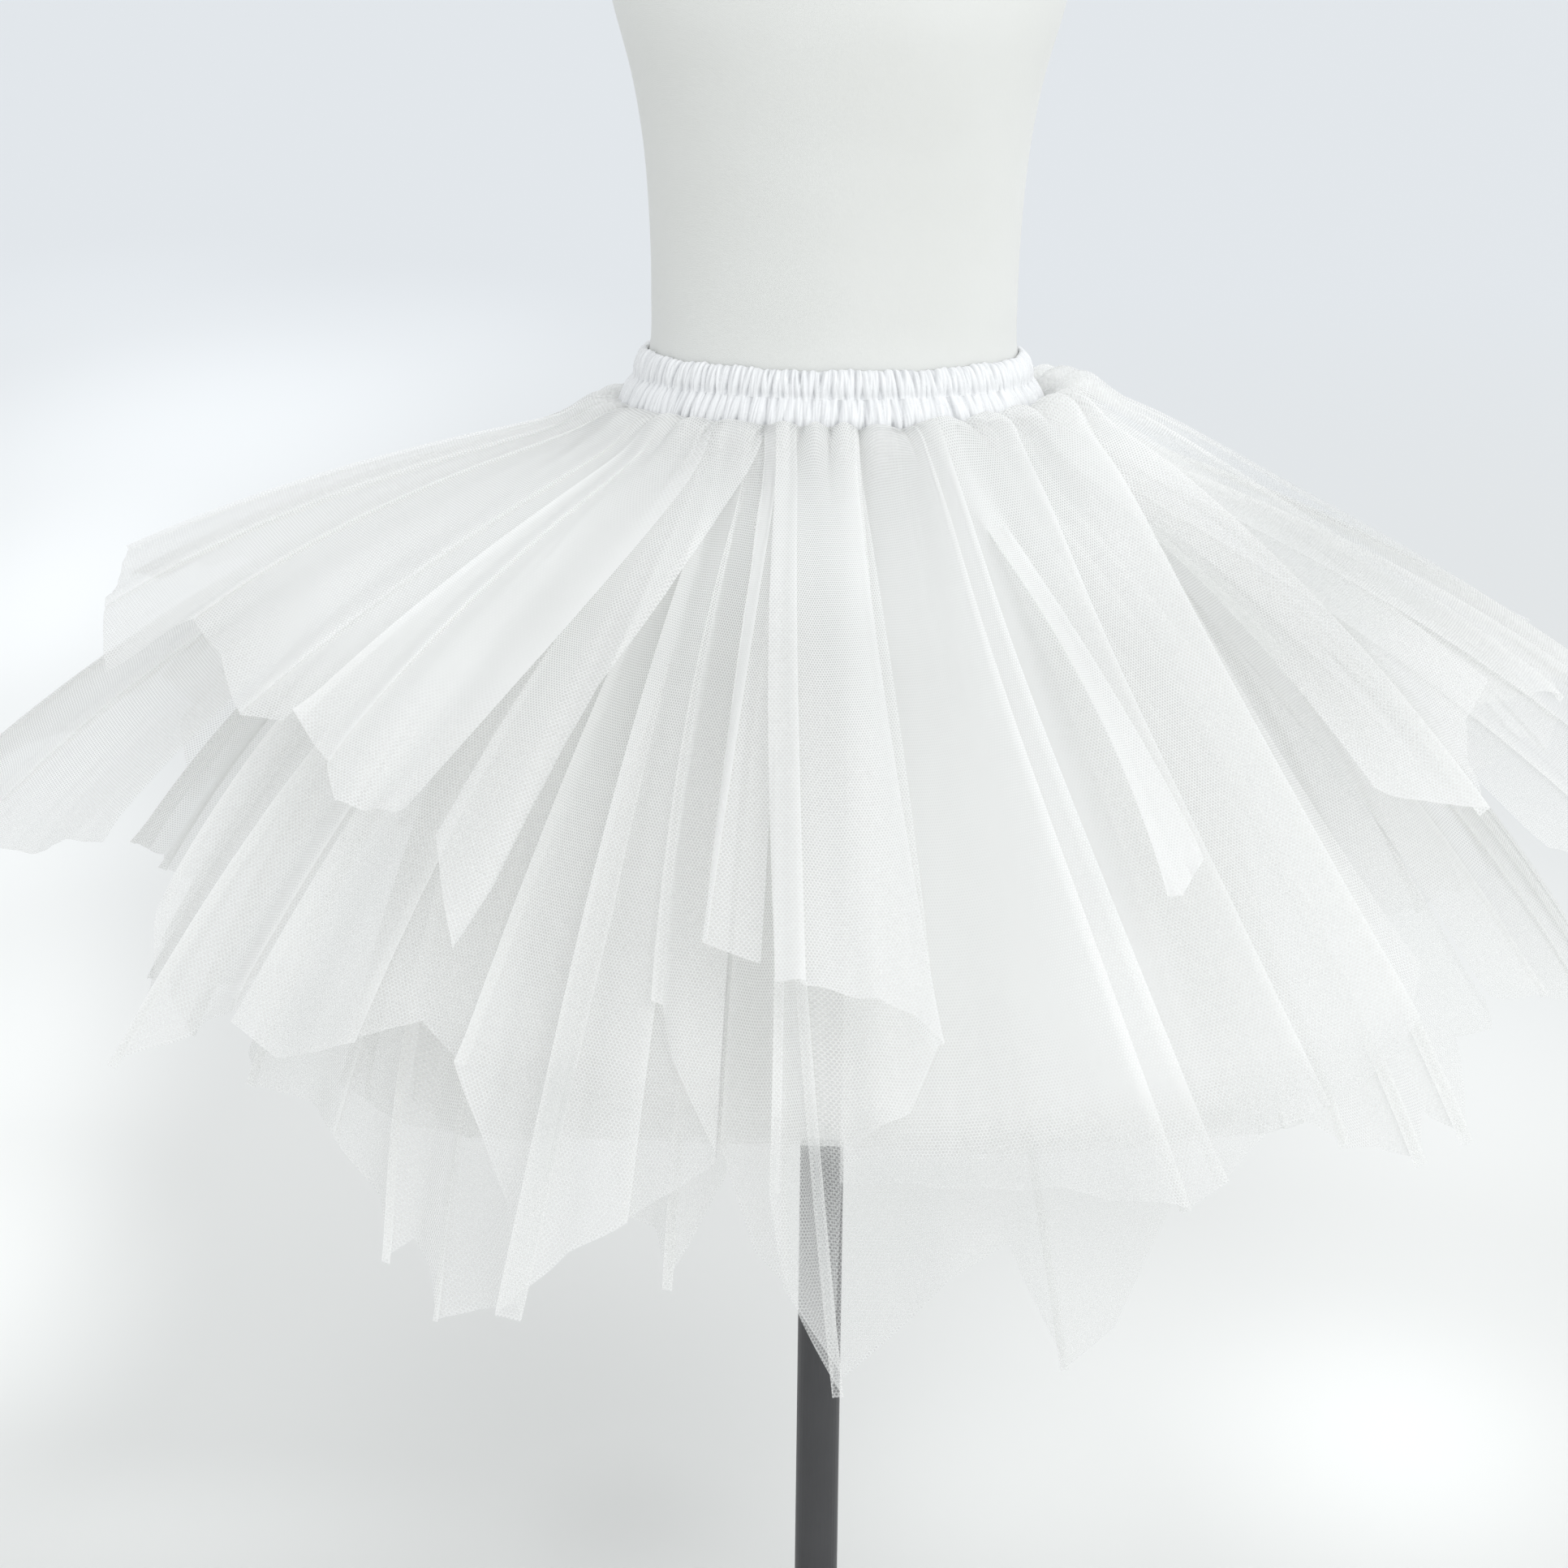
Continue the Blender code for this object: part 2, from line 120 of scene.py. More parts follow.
# The panels as cut: azimuths of the left edge at the seam and the hem and of the
# corner, cloth lengths in millimetres, and how many degrees higher it hangs.
Panel = namedtuple("Panel", "name seam_edge hem_edge corner reach_left reach_corner reach_right lift")
TIERS = tables(
    Panel,
    low=(
        ("low_left", -100, -101, -82, 440, 480, 430, -7),
        ("low_left_front", -62, -59, -28, 480, 590, 470, 1),
        ("low_front_left", -27, -19, -13, 465, 545, 470, -1),
        ("low_front", -12, -7, 18, 485, 590, 475, 0),
        ("low_front_right", 30, 32, 48, 455, 530, 460, 1),
        ("low_right", 62, 64, 86, 460, 560, 470, 0),
        ("low_right_back", 104, 106, 128, 470, 560, 470, -1),
        ("low_back_right", 148, 150, 169, 465, 550, 470, 1),
        ("low_back_left", 190, 191, 208, 460, 560, 465, 0),
        ("low_left_back", 225, 226, 242, 465, 540, 460, 1),
    ),
    mid=(
        ("mid_left", -113, -114, -87, 440, 600, 430, -1.5),
        ("mid_left_front", -73, -67, -51, 425, 545, 470, -1),
        ("mid_front_left", -48, -39, -22.5, 490, 600, 470, 0),
        ("mid_front", -18, -7, 0.5, 490, 625, 505, 0.5),
        ("mid_front_right", 5, 15, 42, 490, 545, 430, -1),
        ("mid_right", 54, 60, 84, 425, 580, 440, 1),
        ("mid_right_back", 104, 106, 124, 440, 530, 450, -1),
        ("mid_back_right", 140, 142, 157, 450, 570, 460, 0.5),
        ("mid_back_left", 175, 176, 194, 455, 550, 450, -1),
        ("mid_left_back", 211, 212, 229, 450, 570, 440, 0.5),
    ),
    top=(
        ("top_left", -127, -128, -98, 320, 345, 315, -8),
        ("top_left_front", -88, -83, -76, 315, 340, 310, -1),
        ("top_front_left_outer", -60, -54, -46, 310, 350, 370, 0.5),
        ("top_front_left", -33, -29, -17, 370, 430, 375, -0.5),
        ("top_front", -13, -7, 7.5, 395, 450, 430, 1),
        ("top_front_right", 6, 11, 27, 385, 400, 350, -0.5),
        ("top_right_front", 33, 37, 52, 330, 390, 310, -4.5),
        ("top_right", 74, 62, 101, 330, 430, 370, -11),
        ("top_back_right", 120, 122, 139, 370, 440, 375, -7),
        ("top_back", 158, 160, 176, 370, 455, 380, 1),
        ("top_back_left", 196, 197, 213, 370, 430, 360, 0),
    ),
)

# ---- folds listed one by one
# One fold line of a panel, from its left edge to its right one: azimuth at the
# seam, half way and at the hem, then in millimetres the cloth's length, how far
# the line stands out (or in) at full length, and the width of a tuck along it.
# Where the azimuth turns back, the cloth is folded over itself.
Fold = namedtuple("Fold", "seam mid hem reach depth tuck", defaults=(0.0,))
FOLDS = tables(
    Fold,
    top_left_front=(
        (-88, -84, -83, 322, -14, 2), (-82, -79, -77, 335, -20), (-76, -74, -72, 349, -10, 3),
        (-71, -69, -67.5, 364, -13), (-67, -66.5, -64.4, 374, -14), (-68, -64.6, -61.6, 315, 1, 3),
        (-64, -61, -59, 318, -3), (-61, -58, -56, 322, 3), (-57, -54, -52.5, 338, -4),
        (-53, -50, -50, 346, 1, 2), (-49, -46.3, -47, 334, -2),
    ),
    top_front_left_outer=(
        (-48.5, -45, -44.9, 334, 5, -4), (-46, -43, -42, 345, -2), (-43, -41, -40.1, 351, 3, 2),
        (-40, -39, -37.8, 372, 5), (-37, -36, -36, 366, -5), (-33, -32, -34, 362, 2),
        (-28.5, -29.6, -33, 358, 3),
    ),
    top_front_left=(
        (-33, -31, -31, 360, -4), (-31, -27, -25.8, 428, 3), (-30, -26, -25.2, 380, -2),
        (-28.5, -25, -24.2, 230, 0), (-25, -22.6, -21.6, 120, 0), (-21.5, -19.3, -18.3, 50, 0),
        (-19.3, -17, -16, 8, 0), (-17.4, -14.8, -13.8, 50, 0), (-15.8, -12.8, -11.7, 120, 0),
        (-15, -11.3, -10.4, 230, 0), (-14, -10.2, -9.6, 360, 2), (-13.5, -9.5, -9.1, 388, 5, 3),
        (-11.5, -6.2, -5.2, 396, -2),
    ),
    top_front=(
        (-15, -7, -3.9, 414, 1), (-10, -3.8, -1.8, 415, 5, 3), (-6, -0.6, 0.8, 420, -4),
        (-3, 1.8, 3.2, 424, 1), (1, 4.1, 5.6, 436, 3), (5.4, 5.3, 7.2, 458, 5, 5), (6, 5, 5.4, 430, -5),
    ),
    top_front_right=(
        (20, 25.6, 24.8, 382, 2, -2), (23, 26.2, 25.6, 386, 3), (26, 27, 27.2, 374, -1),
        (29, 28, 28.4, 366, 2, 3),
    ),
    top_right_front=(
        (58, 48.5, 46, 350, -4), (64, 50.5, 48, 370, 1), (72, 53.5, 50, 385, -2), (80, 57.2, 51.8, 400, 5, 7),
        (83, 61, 57, 345, -5), (85, 65, 62, 335, 1),
    ),
    mid_left=(
        (-113, -112, -113, 440, 2), (-109, -106, -106, 470, -4), (-106, -98, -99, 530, 4, 3),
        (-101, -93, -93, 580, -3), (-97, -88, -88.5, 600, 7, 5), (-90, -84, -83, 560, -5),
        (-84, -77, -75.5, 500, 3, 3), (-79, -71, -69.5, 465, -3), (-73.6, -65, -62.5, 430, 2),
    ),
    mid_left_front=(
        (-70, -58.5, -53.5, 437, 4, -3), (-64, -55, -51.5, 475, -3), (-58, -51, -49.3, 539, 7, -5),
        (-55, -48, -46.2, 487, -7), (-51, -44.5, -43.9, 476, 4, 3), (-48.6, -42.5, -41.3, 470, -3),
    ),
    mid_front_left=(
        (-48, -43, -42.7, 485, 5, -6), (-43, -40.5, -39.4, 491, -3), (-40, -37.5, -36.4, 479, 2),
        (-37, -34, -34.1, 468, 6, 6), (-34, -31, -31, 440, -5), (-32, -26.8, -27.3, 460, 3, -5),
        (-30, -25.5, -24.6, 494, -4), (-28.5, -23.5, -22, 528, -6), (-28.5, -21.2, -20.6, 595, 8, -14),
        (-25, -18.6, -17.2, 550, 1), (-22, -14.9, -13.8, 526, -5, 5), (-18.5, -12.5, -10.8, 503, -3),
        (-15, -9.2, -7.8, 486, 0), (-18, -15, -12.2, 428, 6), (-20, -16.6, -14.1, 400, 8, -5),
    ),
    mid_front=(
        (-17, -5.9, -4.1, 505, 4, -5), (-13.5, -4.9, -3.2, 545, -2), (-12, -3.9, -1.7, 575, 1),
        (-10, -2.9, 1, 620, 7, 6), (-6, -0.6, 1, 478, -4), (-2, 2.4, 3.4, 467, 2), (1, 5, 6, 456, -4),
        (5, 7.6, 8.3, 420, 1, 3),
    ),
    mid_front_right=(
        (3, 1.6, 0.8, 491, -3), (7, 6, 6, 495, 2), (11, 11, 11.5, 499, -3), (15, 15.4, 16.4, 505, 2),
        (20, 20.9, 24.4, 533, 6, 5), (24, 23.6, 27.4, 522, 3, 5), (33, 28.5, 31, 500, -4),
        (44, 34, 35.5, 497, 2, 3), (55, 38.8, 39.5, 488, -2), (70, 45.2, 43.4, 470, 6, 7),
        (72, 47, 46.5, 440, -5),
    ),
    low_left_front=(
        (-62, -55, -50.5, 472, 0), (-58, -51, -48.8, 490, 5, -4), (-52, -46, -44, 483, -4),
        (-48, -42.5, -40, 499, 3, 2), (-45, -41, -36, 523, -4), (-43, -40.5, -33.4, 560, 6, -4),
        (-37, -35.5, -32.6, 540, -4), (-34.5, -33.3, -30.2, 556, 2), (-33, -32.4, -28.4, 585, 6, 4),
        (-30, -29, -26.6, 570, -3), (-28.3, -26, -23.4, 564, 2), (-27.6, -23, -21, 500, -4),
    ),
    low_front_left=(
        (-27, -22, -19, 470, -3), (-24, -19, -16.5, 500, 4, 2), (-21, -16, -14.6, 503, -3),
        (-19, -14.5, -13.1, 540, 6, -5), (-16, -12.5, -11, 502, -4), (-12.6, -10.5, -8.8, 470, 1),
    ),
    low_front=(
        (-12, -10, -9.2, 455, 2, -2), (-9, -7.5, -6, 513, -4), (-6, -4.5, -3, 535, 4, 3),
        (-2, -1, 1.4, 585, 1), (3, 4, 6.7, 552, -4), (8, 9, 9.9, 531, 3), (12, 13, 15, 512, -3),
        (15, 16.5, 18.2, 590, 5, 4), (22, 22.5, 22.6, 568, -3), (29.4, 29.5, 30.4, 480, 3),
    ),
)
# Panels that puff out further: how far, and the share of their width that it
# takes to come up from their left edge.
Puff = namedtuple("Puff", "height start")
EXTRA_PUFF = {
    "mid_front_right": Puff(0.022, 0.6), "top_right_front": Puff(0.012, 0.2),
    "top_right": Puff(0.020, 0.1), "top_back_right": Puff(0.020, 0.1),
}
NO_PUFF = Puff(0.0, 1.0)
EXTRA_PUFF_LENGTH = 0.055
# How single panels look: how much light is painted into their net (painted shade
# below zero), which also makes it closer, how soft their folds are (0 for crisp
# lines of light, 1 for none), and how much thinner they are, with painted shade,
# over their last stretch, where one layer hangs alone.
Look = namedtuple("Look", "whiter softness thin_end", defaults=(0.0, 0.5, 0.0))
LOOKS = {
    "top_left_front": Look(1.8, 0.3), "top_front_left_outer": Look(1.1, 0.1),
    "top_front_left": Look(0.0, 1.0), "top_front": Look(-0.2, 0.8),
    "top_front_right": Look(-0.4, 1.0), "top_right_front": Look(-1.0, 0.9),
    "top_right": Look(-1.4), "top_back_right": Look(-1.4), "mid_left_front": Look(0.1, 0.0),
    "mid_front_left": Look(-0.6, 1.0, -0.5), "mid_front": Look(-0.3, 0.7, -1.0),
    "mid_front_right": Look(0.8, 1.0, -0.9), "mid_right": Look(-0.6), "low_left_front": Look(-0.8, 0.1),
    "low_front_left": Look(-0.9, 0.1, -0.5), "low_front": Look(-0.5, 0.5, -0.6),
}
USUAL_LOOK = Look()
# Painted light on the underskirts: a lift all round, more towards the right side, turned by some degrees.
UNDERSKIRT_PAINTED_LIGHT = 0.30
UNDERSKIRT_PAINTED_LIGHT_RIGHT = 0.50
UNDERSKIRT_PAINTED_LIGHT_TURN = 10.0
# Lengths over which a panel's painted light comes in below the seam and fades out before its hem.
PAINTED_LIGHT_START = 0.12
PAINTED_LIGHT_END = 0.12
# Where across its width a panel's net turns thinner and painted in shade, and by how much.
PAINTED_SHADE_RIGHT = {"mid_front_right": -1.1}
PAINTED_SHADE_START = 0.58
PAINTED_SHADE_WIDTH = 0.06
# Where the thinner last stretch starts.
THIN_END_START = {"mid_front": 0.45, "mid_front_right": 0.455}
USUAL_THIN_END_START = 0.43
THIN_END_LENGTH = 0.03

# ---- fineness of the cloth
PANEL_ROWS = 58
UNDERSKIRT_ROWS = 52
COLUMN_WIDTH = 0.0034
LEAST_COLUMNS = 3
LEAST_GAP = 0.002
ROW_POWER = 1.3
WAIST_RADIUS = 0.13
FOLD_BOLDNESS = 1.15
TUCK_LAP = 0.0016
TUCK_LAP_LENGTH = 0.05
TUCK_SHARE_AT_SEAM = 0.2
TUCK_FULL_LENGTH = 0.35
CRIMP_HEIGHT = 0.0015
CRIMP_LENGTH = 0.017
CREASE_HEIGHT = 0.0009
CREASE_LENGTH = 0.085
CREASE_LINE = 0.0022
CREASE_LINE_LOSS = 0.65
CREASE_FADE = 0.4
CREASE_FADE_GAIN = 0.50
CREASE_FADE_WIDTH = 0.016
CREASE_FADE_SPREAD = 0.030
CREASE_START = 0.06
SWELL_HEIGHT = 0.0022
SWELL_RATE = 9.0
CURL_LENGTH = 0.026
CURL_HEIGHT = 0.0035
RUFFLE_HEIGHT = 0.0009
RUFFLE_POWER = 6
SEAM_RISE = 0.0120
SEAM_SWELL = 0.0075
SEAM_PUFF_LENGTH = 0.010
SEAM_TUCK = 0.0045
SEAM_TUCK_LENGTH = 0.008
SEAM_LOBES = 17
LEAST_LOBE = 0.25
LOBE_ROUNDNESS = 0.8
RIGHT_RISE = 0.55
SEED = 20
TIER_SEED_STEP = 100

# Sines that make the seam's lobes and its gathers uneven.
Drift = namedtuple("Drift", "size rate phase")
LOBE_DRIFT = table(Drift, (0.9, 4, 0.5), (0.7, 9, 0.0))
Crimp = namedtuple("Crimp", "share rate sway sway_rate phase")
CRIMPS = table(Crimp, (0.6, 47, 1.3, 7, 0.0), (0.4, 31, 2.1, 5, 1.0))
# Small waves over a sheet: how many are added up, cloth for each, the least
# whole number of them, and the range that their number is drawn from.
Waves = namedtuple("Waves", "count spacing least most_times most_more")
CREASES = Waves(3, 0.055, 1, 2, 1)
SWELLS = Waves(2, 0.12, 2, 1, 3)
CURLS = Waves(2, 0.07, 2, 1, 4)
RUFFLES = Waves(2, 0.03, 3, 2, 0)
WAVE_SIZES = (0.6, 1.0)
WAVE_STARTS = (0.0, 6.0)


# ---- small tools
def catmull(values, places, wanted):
    """Catmull-Rom blend of rows of values, given at rising places."""
    values = np.asarray(values, dtype=float)
    places = np.asarray(places, dtype=float)
    last = len(places) - 1
    index = np.clip(np.searchsorted(places, wanted, side="right") - 1, 0, last - 1)
    share = (wanted - places[index]) / (places[index + 1] - places[index])
    low, high = values[index], values[index + 1]
    slope_low = (high - values[np.maximum(index - 1, 0)]) / 2
    slope_high = (values[np.minimum(index + 2, last)] - low) / 2
    if values.ndim > 1:
        share = share[..., None]
    return (
        (2 * share ** 3 - 3 * share ** 2 + 1) * low + (share ** 3 - 2 * share ** 2 + share) * slope_low
        + (3 * share ** 2 - 2 * share ** 3) * high + (share ** 3 - share ** 2) * slope_high
    )


def form_section(z):
    """Half width, half depth and forward shift of the dress form at heights."""
    sizes = [section[1:] for section in FORM_SECTIONS]
    found = catmull(sizes, [section.z for section in FORM_SECTIONS], np.asarray(z, dtype=float))
    return np.moveaxis(found, -1, 0)


def ring_points(azimuth, z, offset):
    """Points at heights, a distance outside the dress form."""
    half_width, half_depth, forward = form_section(z)
    angle = np.radians(azimuth)
    return np.stack([
        (half_width + offset) * np.sin(angle),
        -(half_depth + offset) * np.cos(angle) - forward,
        z + 0.0 * angle,
    ], axis=-1)


def smoothstep(share):
    """Ease from 0 to 1 between shares of 0 and 1."""
    share = np.clip(share, 0.0, 1.0)
    return share * share * (3.0 - 2.0 * share)


def add_object(name, data):
    """Put a new object into the scene."""
    obj = bpy.data.objects.new(name, data)
    bpy.context.scene.collection.objects.link(obj)
    return obj


def grid_object(name, points, material, uv=None, closed=False, crease=None, sharp=()):
    """A smooth sheet of quads from points[column, row], sharp along some columns."""
    columns, rows = points.shape[:2]
    across = columns if closed else columns - 1
    column, row = np.meshgrid(np.arange(across), np.arange(rows - 1), indexing="ij")
    following = (column + 1) % columns
    corners = np.stack([
        column * rows + row, column * rows + row + 1,
        following * rows + row + 1, following * rows + row,
    ], axis=-1).reshape(-1, 4)
    mesh = bpy.data.meshes.new(name)
    mesh.vertices.add(columns * rows)
    mesh.vertices.foreach_set("co", points.reshape(-1).astype(np.float32))
    mesh.loops.add(corners.size)
    mesh.loops.foreach_set("vertex_index", corners.reshape(-1).astype(np.int32))
    mesh.polygons.add(len(corners))
    mesh.polygons.foreach_set("loop_start", np.arange(0, corners.size, 4, dtype=np.int32))
    if uv is not None:
        ahead = column + 1
        spots = np.stack([uv[column, row], uv[column, row + 1], uv[ahead, row + 1], uv[ahead, row]], axis=2)
        layer = mesh.uv_layers.new(name="cloth")
        layer.uv.foreach_set("vector", spots.reshape(-1).astype(np.float32))
    if crease is not None:
        down = np.linspace(0.0, 1.0, rows)[None, :] ** ROW_POWER + 0.0 * crease
        for key, values in (("crease", crease), ("down", down)):
            attribute = mesh.attributes.new(key, "FLOAT", "POINT")
            attribute.data.foreach_set("value", values.reshape(-1).astype(np.float32))
    mesh.update(calc_edges=True)
    mesh.shade_smooth()
    if len(sharp):
        ends = np.empty(2 * len(mesh.edges), dtype=np.int32)
        mesh.edges.foreach_get("vertices", ends)
        ends = ends.reshape(-1, 2) // rows
        folded = (ends[:, 0] == ends[:, 1]) & np.isin(ends[:, 0], sharp)
        mesh.attributes.new("sharp_edge", "BOOLEAN", "EDGE").data.foreach_set("value", folded)
    mesh.materials.append(material)
    return add_object(name, mesh)


# ---- materials
class Graph:
    """The node graph of a material or world, with short calls for its parts."""

    def __init__(self, owner):
        self.owner = owner
        owner.use_nodes = True
        self.tree = owner.node_tree
        self.tree.nodes.clear()

    def node(self, kind, **settings):
        made = self.tree.nodes.new(kind)
        for key, value in settings.items():
            setattr(made, key, value)
        return made

    def feed(self, made, *values):
        """Join sockets to a node's first inputs, or set numbers on them."""
        for target, value in zip(made.inputs, values):
            self.put(target, value)
        return made.outputs[0]

    def put(self, target, value):
        if isinstance(value, bpy.types.NodeSocket):
            self.tree.links.new(value, target)
        else:
            target.default_value = value

    def place(self):
        return self.node("ShaderNodeTexCoord").outputs["Object"]

    def cloth_place(self):
        return self.node("ShaderNodeUVMap", uv_map="cloth").outputs["UV"]

    def attribute(self, name):
        return self.node("ShaderNodeAttribute", attribute_name=name).outputs["Fac"]

    def math(self, operation, *values):
        return self.feed(self.node("ShaderNodeMath", operation=operation), *values)

    def vector(self, operation, *values, output="Vector"):
        made = self.node("ShaderNodeVectorMath", operation=operation)
        self.feed(made, *values)
        return made.outputs[output]

    def dot(self, vector, direction):
        return self.vector("DOT_PRODUCT", vector, direction, output="Value")

    def stretch(self, value, low, high, to_low, to_high, **settings):
        return self.feed(self.node("ShaderNodeMapRange", **settings), value, low, high, to_low, to_high)

    def mix(self, share, first, second):
        return self.feed(self.node("ShaderNodeMixShader"), share, first, second)

    def ramp(self, value, *stops):
        made = self.node("ShaderNodeValToRGB")
        elements = made.color_ramp.elements
        while len(elements) < len(stops):
            elements.new(0.5)
        for element, (place, colour) in zip(elements, stops):
            element.position = place
            element.color = (*colour, 1.0)
        return self.feed(made, value)

    def noise(self, vector, scale, detail=2.0):
        made = self.node("ShaderNodeTexNoise")
        self.put(made.inputs["Vector"], vector)
        self.put(made.inputs["Scale"], scale)
        self.put(made.inputs["Detail"], detail)
        return made.outputs["Fac"]

    def shader(self, kind, **sockets):
        made = self.node(kind)
        for name, value in sockets.items():
            self.put(made.inputs[name.replace("_", " ")], value)
        return made.outputs[0]

    def bump(self, height, strength, distance):
        return self.shader("ShaderNodeBump", Strength=strength, Distance=distance, Height=height)

    def surface(self, **sockets):
        return self.shader("ShaderNodeBsdfPrincipled", **sockets)

    def finish(self, shader, output="ShaderNodeOutputMaterial"):
        """Give the graph its output, and return the material or world."""
        self.put(self.node(output).inputs["Surface"], shader)
        return self.owner


NET_PERIOD = 0.0021
NET_TURNS = (30.0, 90.0, 150.0)
NET_EDGE = 0.70
NET_CLOSED = 0.45
NET_CLOSED_GAIN = 0.30
NET_CLOSED_LEAST = 0.07
NET_THREAD = 0.77
NET_THREAD_GAIN = 0.30
NET_THREAD_LEAST = 0.12
NET_THICKNESS = -0.30
NET_THICKNESS_AT_SEAM = 0.45
NET_SEAM_LENGTH = 0.10
NET_CREASE_GAIN = 0.45
NET_HEM_GAIN = 1.6
NET_HEM_SHARE = 0.006
NET_PATCHES = (41.0, 23.0, 0.0)
# The net's colour: a random tone of patches, light painted in along creases and near the seam, and a grey
# stop for painted shade.
WHITENESS = 0.5
WHITENESS_OF_PATCHES = 0.04
PAINTED_LIGHT_OF_CREASES = 0.35
PAINTED_LIGHT_AT_SEAM = 1.1
PAINTED_LIGHT_SEAM_LENGTH = 0.18
THROUGH = 0.50
TULLE_PAINTED_SHADE = (0.790, 0.800, 0.795)
TULLE_DULL = (0.890, 0.892, 0.880)
TULLE_PAINTED_LIGHT = (0.984, 0.987, 0.977)


def tulle_material(name):
    """Hexagonal net: threads round even holes, denser where it is gathered; its colour has a random tone,
    light painted in along creases and near the seam, and painted shade on some panels.
    """
    graph = Graph(bpy.data.materials.new(name))
    place = graph.cloth_place()
    rate = TURN / (NET_PERIOD * math.sqrt(3.0) / 2.0)
    waves = [
        graph.math("COSINE", graph.dot(place, (rate * math.cos(angle), rate * math.sin(angle), 0.0)))
        for angle in map(math.radians, NET_TURNS)
    ]
    cells = graph.math("ADD", graph.math("ADD", waves[0], waves[1]), waves[2])
    length = graph.dot(place, (0.0, 1.0, 0.0))
    level = graph.stretch(length, 0.0, NET_SEAM_LENGTH, NET_THICKNESS_AT_SEAM, NET_THICKNESS)
    crease = graph.attribute("crease")
    level = graph.math("MULTIPLY_ADD", crease, NET_CREASE_GAIN, level)
    hem = graph.stretch(graph.attribute("down"), 1.0 - NET_HEM_SHARE, 1.0, 0.0, NET_HEM_GAIN)
    level = graph.math("ADD", level, hem)
    closed = graph.math("MULTIPLY_ADD", crease, NET_CLOSED_GAIN, NET_CLOSED)
    closed = graph.math("MAXIMUM", closed, NET_CLOSED_LEAST)
    dense = graph.math("MULTIPLY_ADD", crease, NET_THREAD_GAIN, NET_THREAD)
    dense = graph.math("MINIMUM", graph.math("MAXIMUM", dense, NET_THREAD_LEAST), NET_THREAD)
    thread = graph.stretch(graph.math("SUBTRACT", level, cells), -NET_EDGE, NET_EDGE, closed, dense)
    patches = graph.math("SINE", graph.dot(place, NET_PATCHES))
    tone_and_painted_light = graph.math("MULTIPLY_ADD", patches, WHITENESS_OF_PATCHES, WHITENESS)
    tone_and_painted_light = graph.math("MULTIPLY_ADD", crease, PAINTED_LIGHT_OF_CREASES, tone_and_painted_light)
    painted_seam_light = graph.stretch(length, 0.0, PAINTED_LIGHT_SEAM_LENGTH, PAINTED_LIGHT_AT_SEAM, 0.0)
    tone_and_painted_light = graph.math("ADD", tone_and_painted_light, painted_seam_light)
    # Painted light and shade: grey for shaded sheets, plain, and lit white.
    colour = graph.ramp(tone_and_painted_light, (0.0, TULLE_PAINTED_SHADE), (0.3, TULLE_DULL), (1.0, TULLE_PAINTED_LIGHT))
    lit = graph.surface(Base_Color=colour, Roughness=0.62, Sheen_Weight=0.25, Sheen_Roughness=0.4)
    cloth = graph.mix(THROUGH, lit, graph.shader("ShaderNodeBsdfTranslucent", Color=colour))
    return graph.finish(graph.mix(thread, graph.shader("ShaderNodeBsdfTransparent"), cloth))


SATIN_THREAD = 0.0004
SATIN_SHADE_STOPS = ((0.45, (0.81, 0.818, 0.822)), (1.0, (0.66, 0.67, 0.68)))
SATIN_SHADE_NOISE = 0.25
SATIN_ROUGHNESS = (0.3, 0.7, 0.20, 0.32)


def satin_material():
    """Glossy satin: fine threads along the band, a soft uneven sheen, and painted shade that darkens its
    colour in the valleys between puckers.
    """
    graph = Graph(bpy.data.materials.new("satin_band"))
    rate = TURN / SATIN_THREAD
    threads = graph.math("SINE", graph.dot(graph.cloth_place(), (0.0, rate, 0.0)))
    soft = graph.noise(graph.place(), scale=90.0)
    # Painted shade: the deeper in the valleys between puckers, with some noise, the darker the satin's
    # colour.
    depth = graph.math("MULTIPLY_ADD", soft, SATIN_SHADE_NOISE, graph.attribute("crease"))
    return graph.finish(graph.surface(
        Base_Color=graph.ramp(depth, *SATIN_SHADE_STOPS),
        Roughness=graph.stretch(soft, *SATIN_ROUGHNESS),
        Specular_IOR_Level=0.7,
        Anisotropic=0.35,
        Normal=graph.bump(threads, strength=0.12, distance=0.0001),
    ))


RIB_PITCH = 0.0011
COURSE_PITCH = 0.0009
KNIT_SHARE = 0.35
JERSEY_STOPS = ((0.3, (0.712, 0.719, 0.694)), (0.7, (0.738, 0.746, 0.723)))


def jersey_material():
    """Off-white stretch jersey: fine knitted ribs, matt, a little uneven."""
    graph = Graph(bpy.data.materials.new("jersey_cover"))
    where = graph.place()
    rib, course = TURN / RIB_PITCH, TURN / COURSE_PITCH
    ribs = graph.math("SINE", graph.dot(where, (rib, rib, 0.0)))
    courses = graph.math("SINE", graph.dot(where, (0.0, 0.0, course)))
    knit = graph.math("MULTIPLY", ribs, courses)
    cloudy = graph.noise(where, scale=9.0, detail=3.0)
    fuzz = graph.noise(where, scale=420.0)
    height = graph.math("ADD", graph.math("MULTIPLY", knit, KNIT_SHARE), fuzz)
    return graph.finish(graph.surface(
        Base_Color=graph.ramp(cloudy, *JERSEY_STOPS),
        Roughness=0.82,
        Sheen_Weight=0.2,
        Sheen_Roughness=0.5,
        Normal=graph.bump(height, strength=0.25, distance=0.0003),
    ))


PAINT_STOPS = ((0.3, (0.052, 0.052, 0.055)), (0.7, (0.068, 0.068, 0.071)))
PAINT_ROUGHNESS = (0.3, 0.7, 0.38, 0.52)


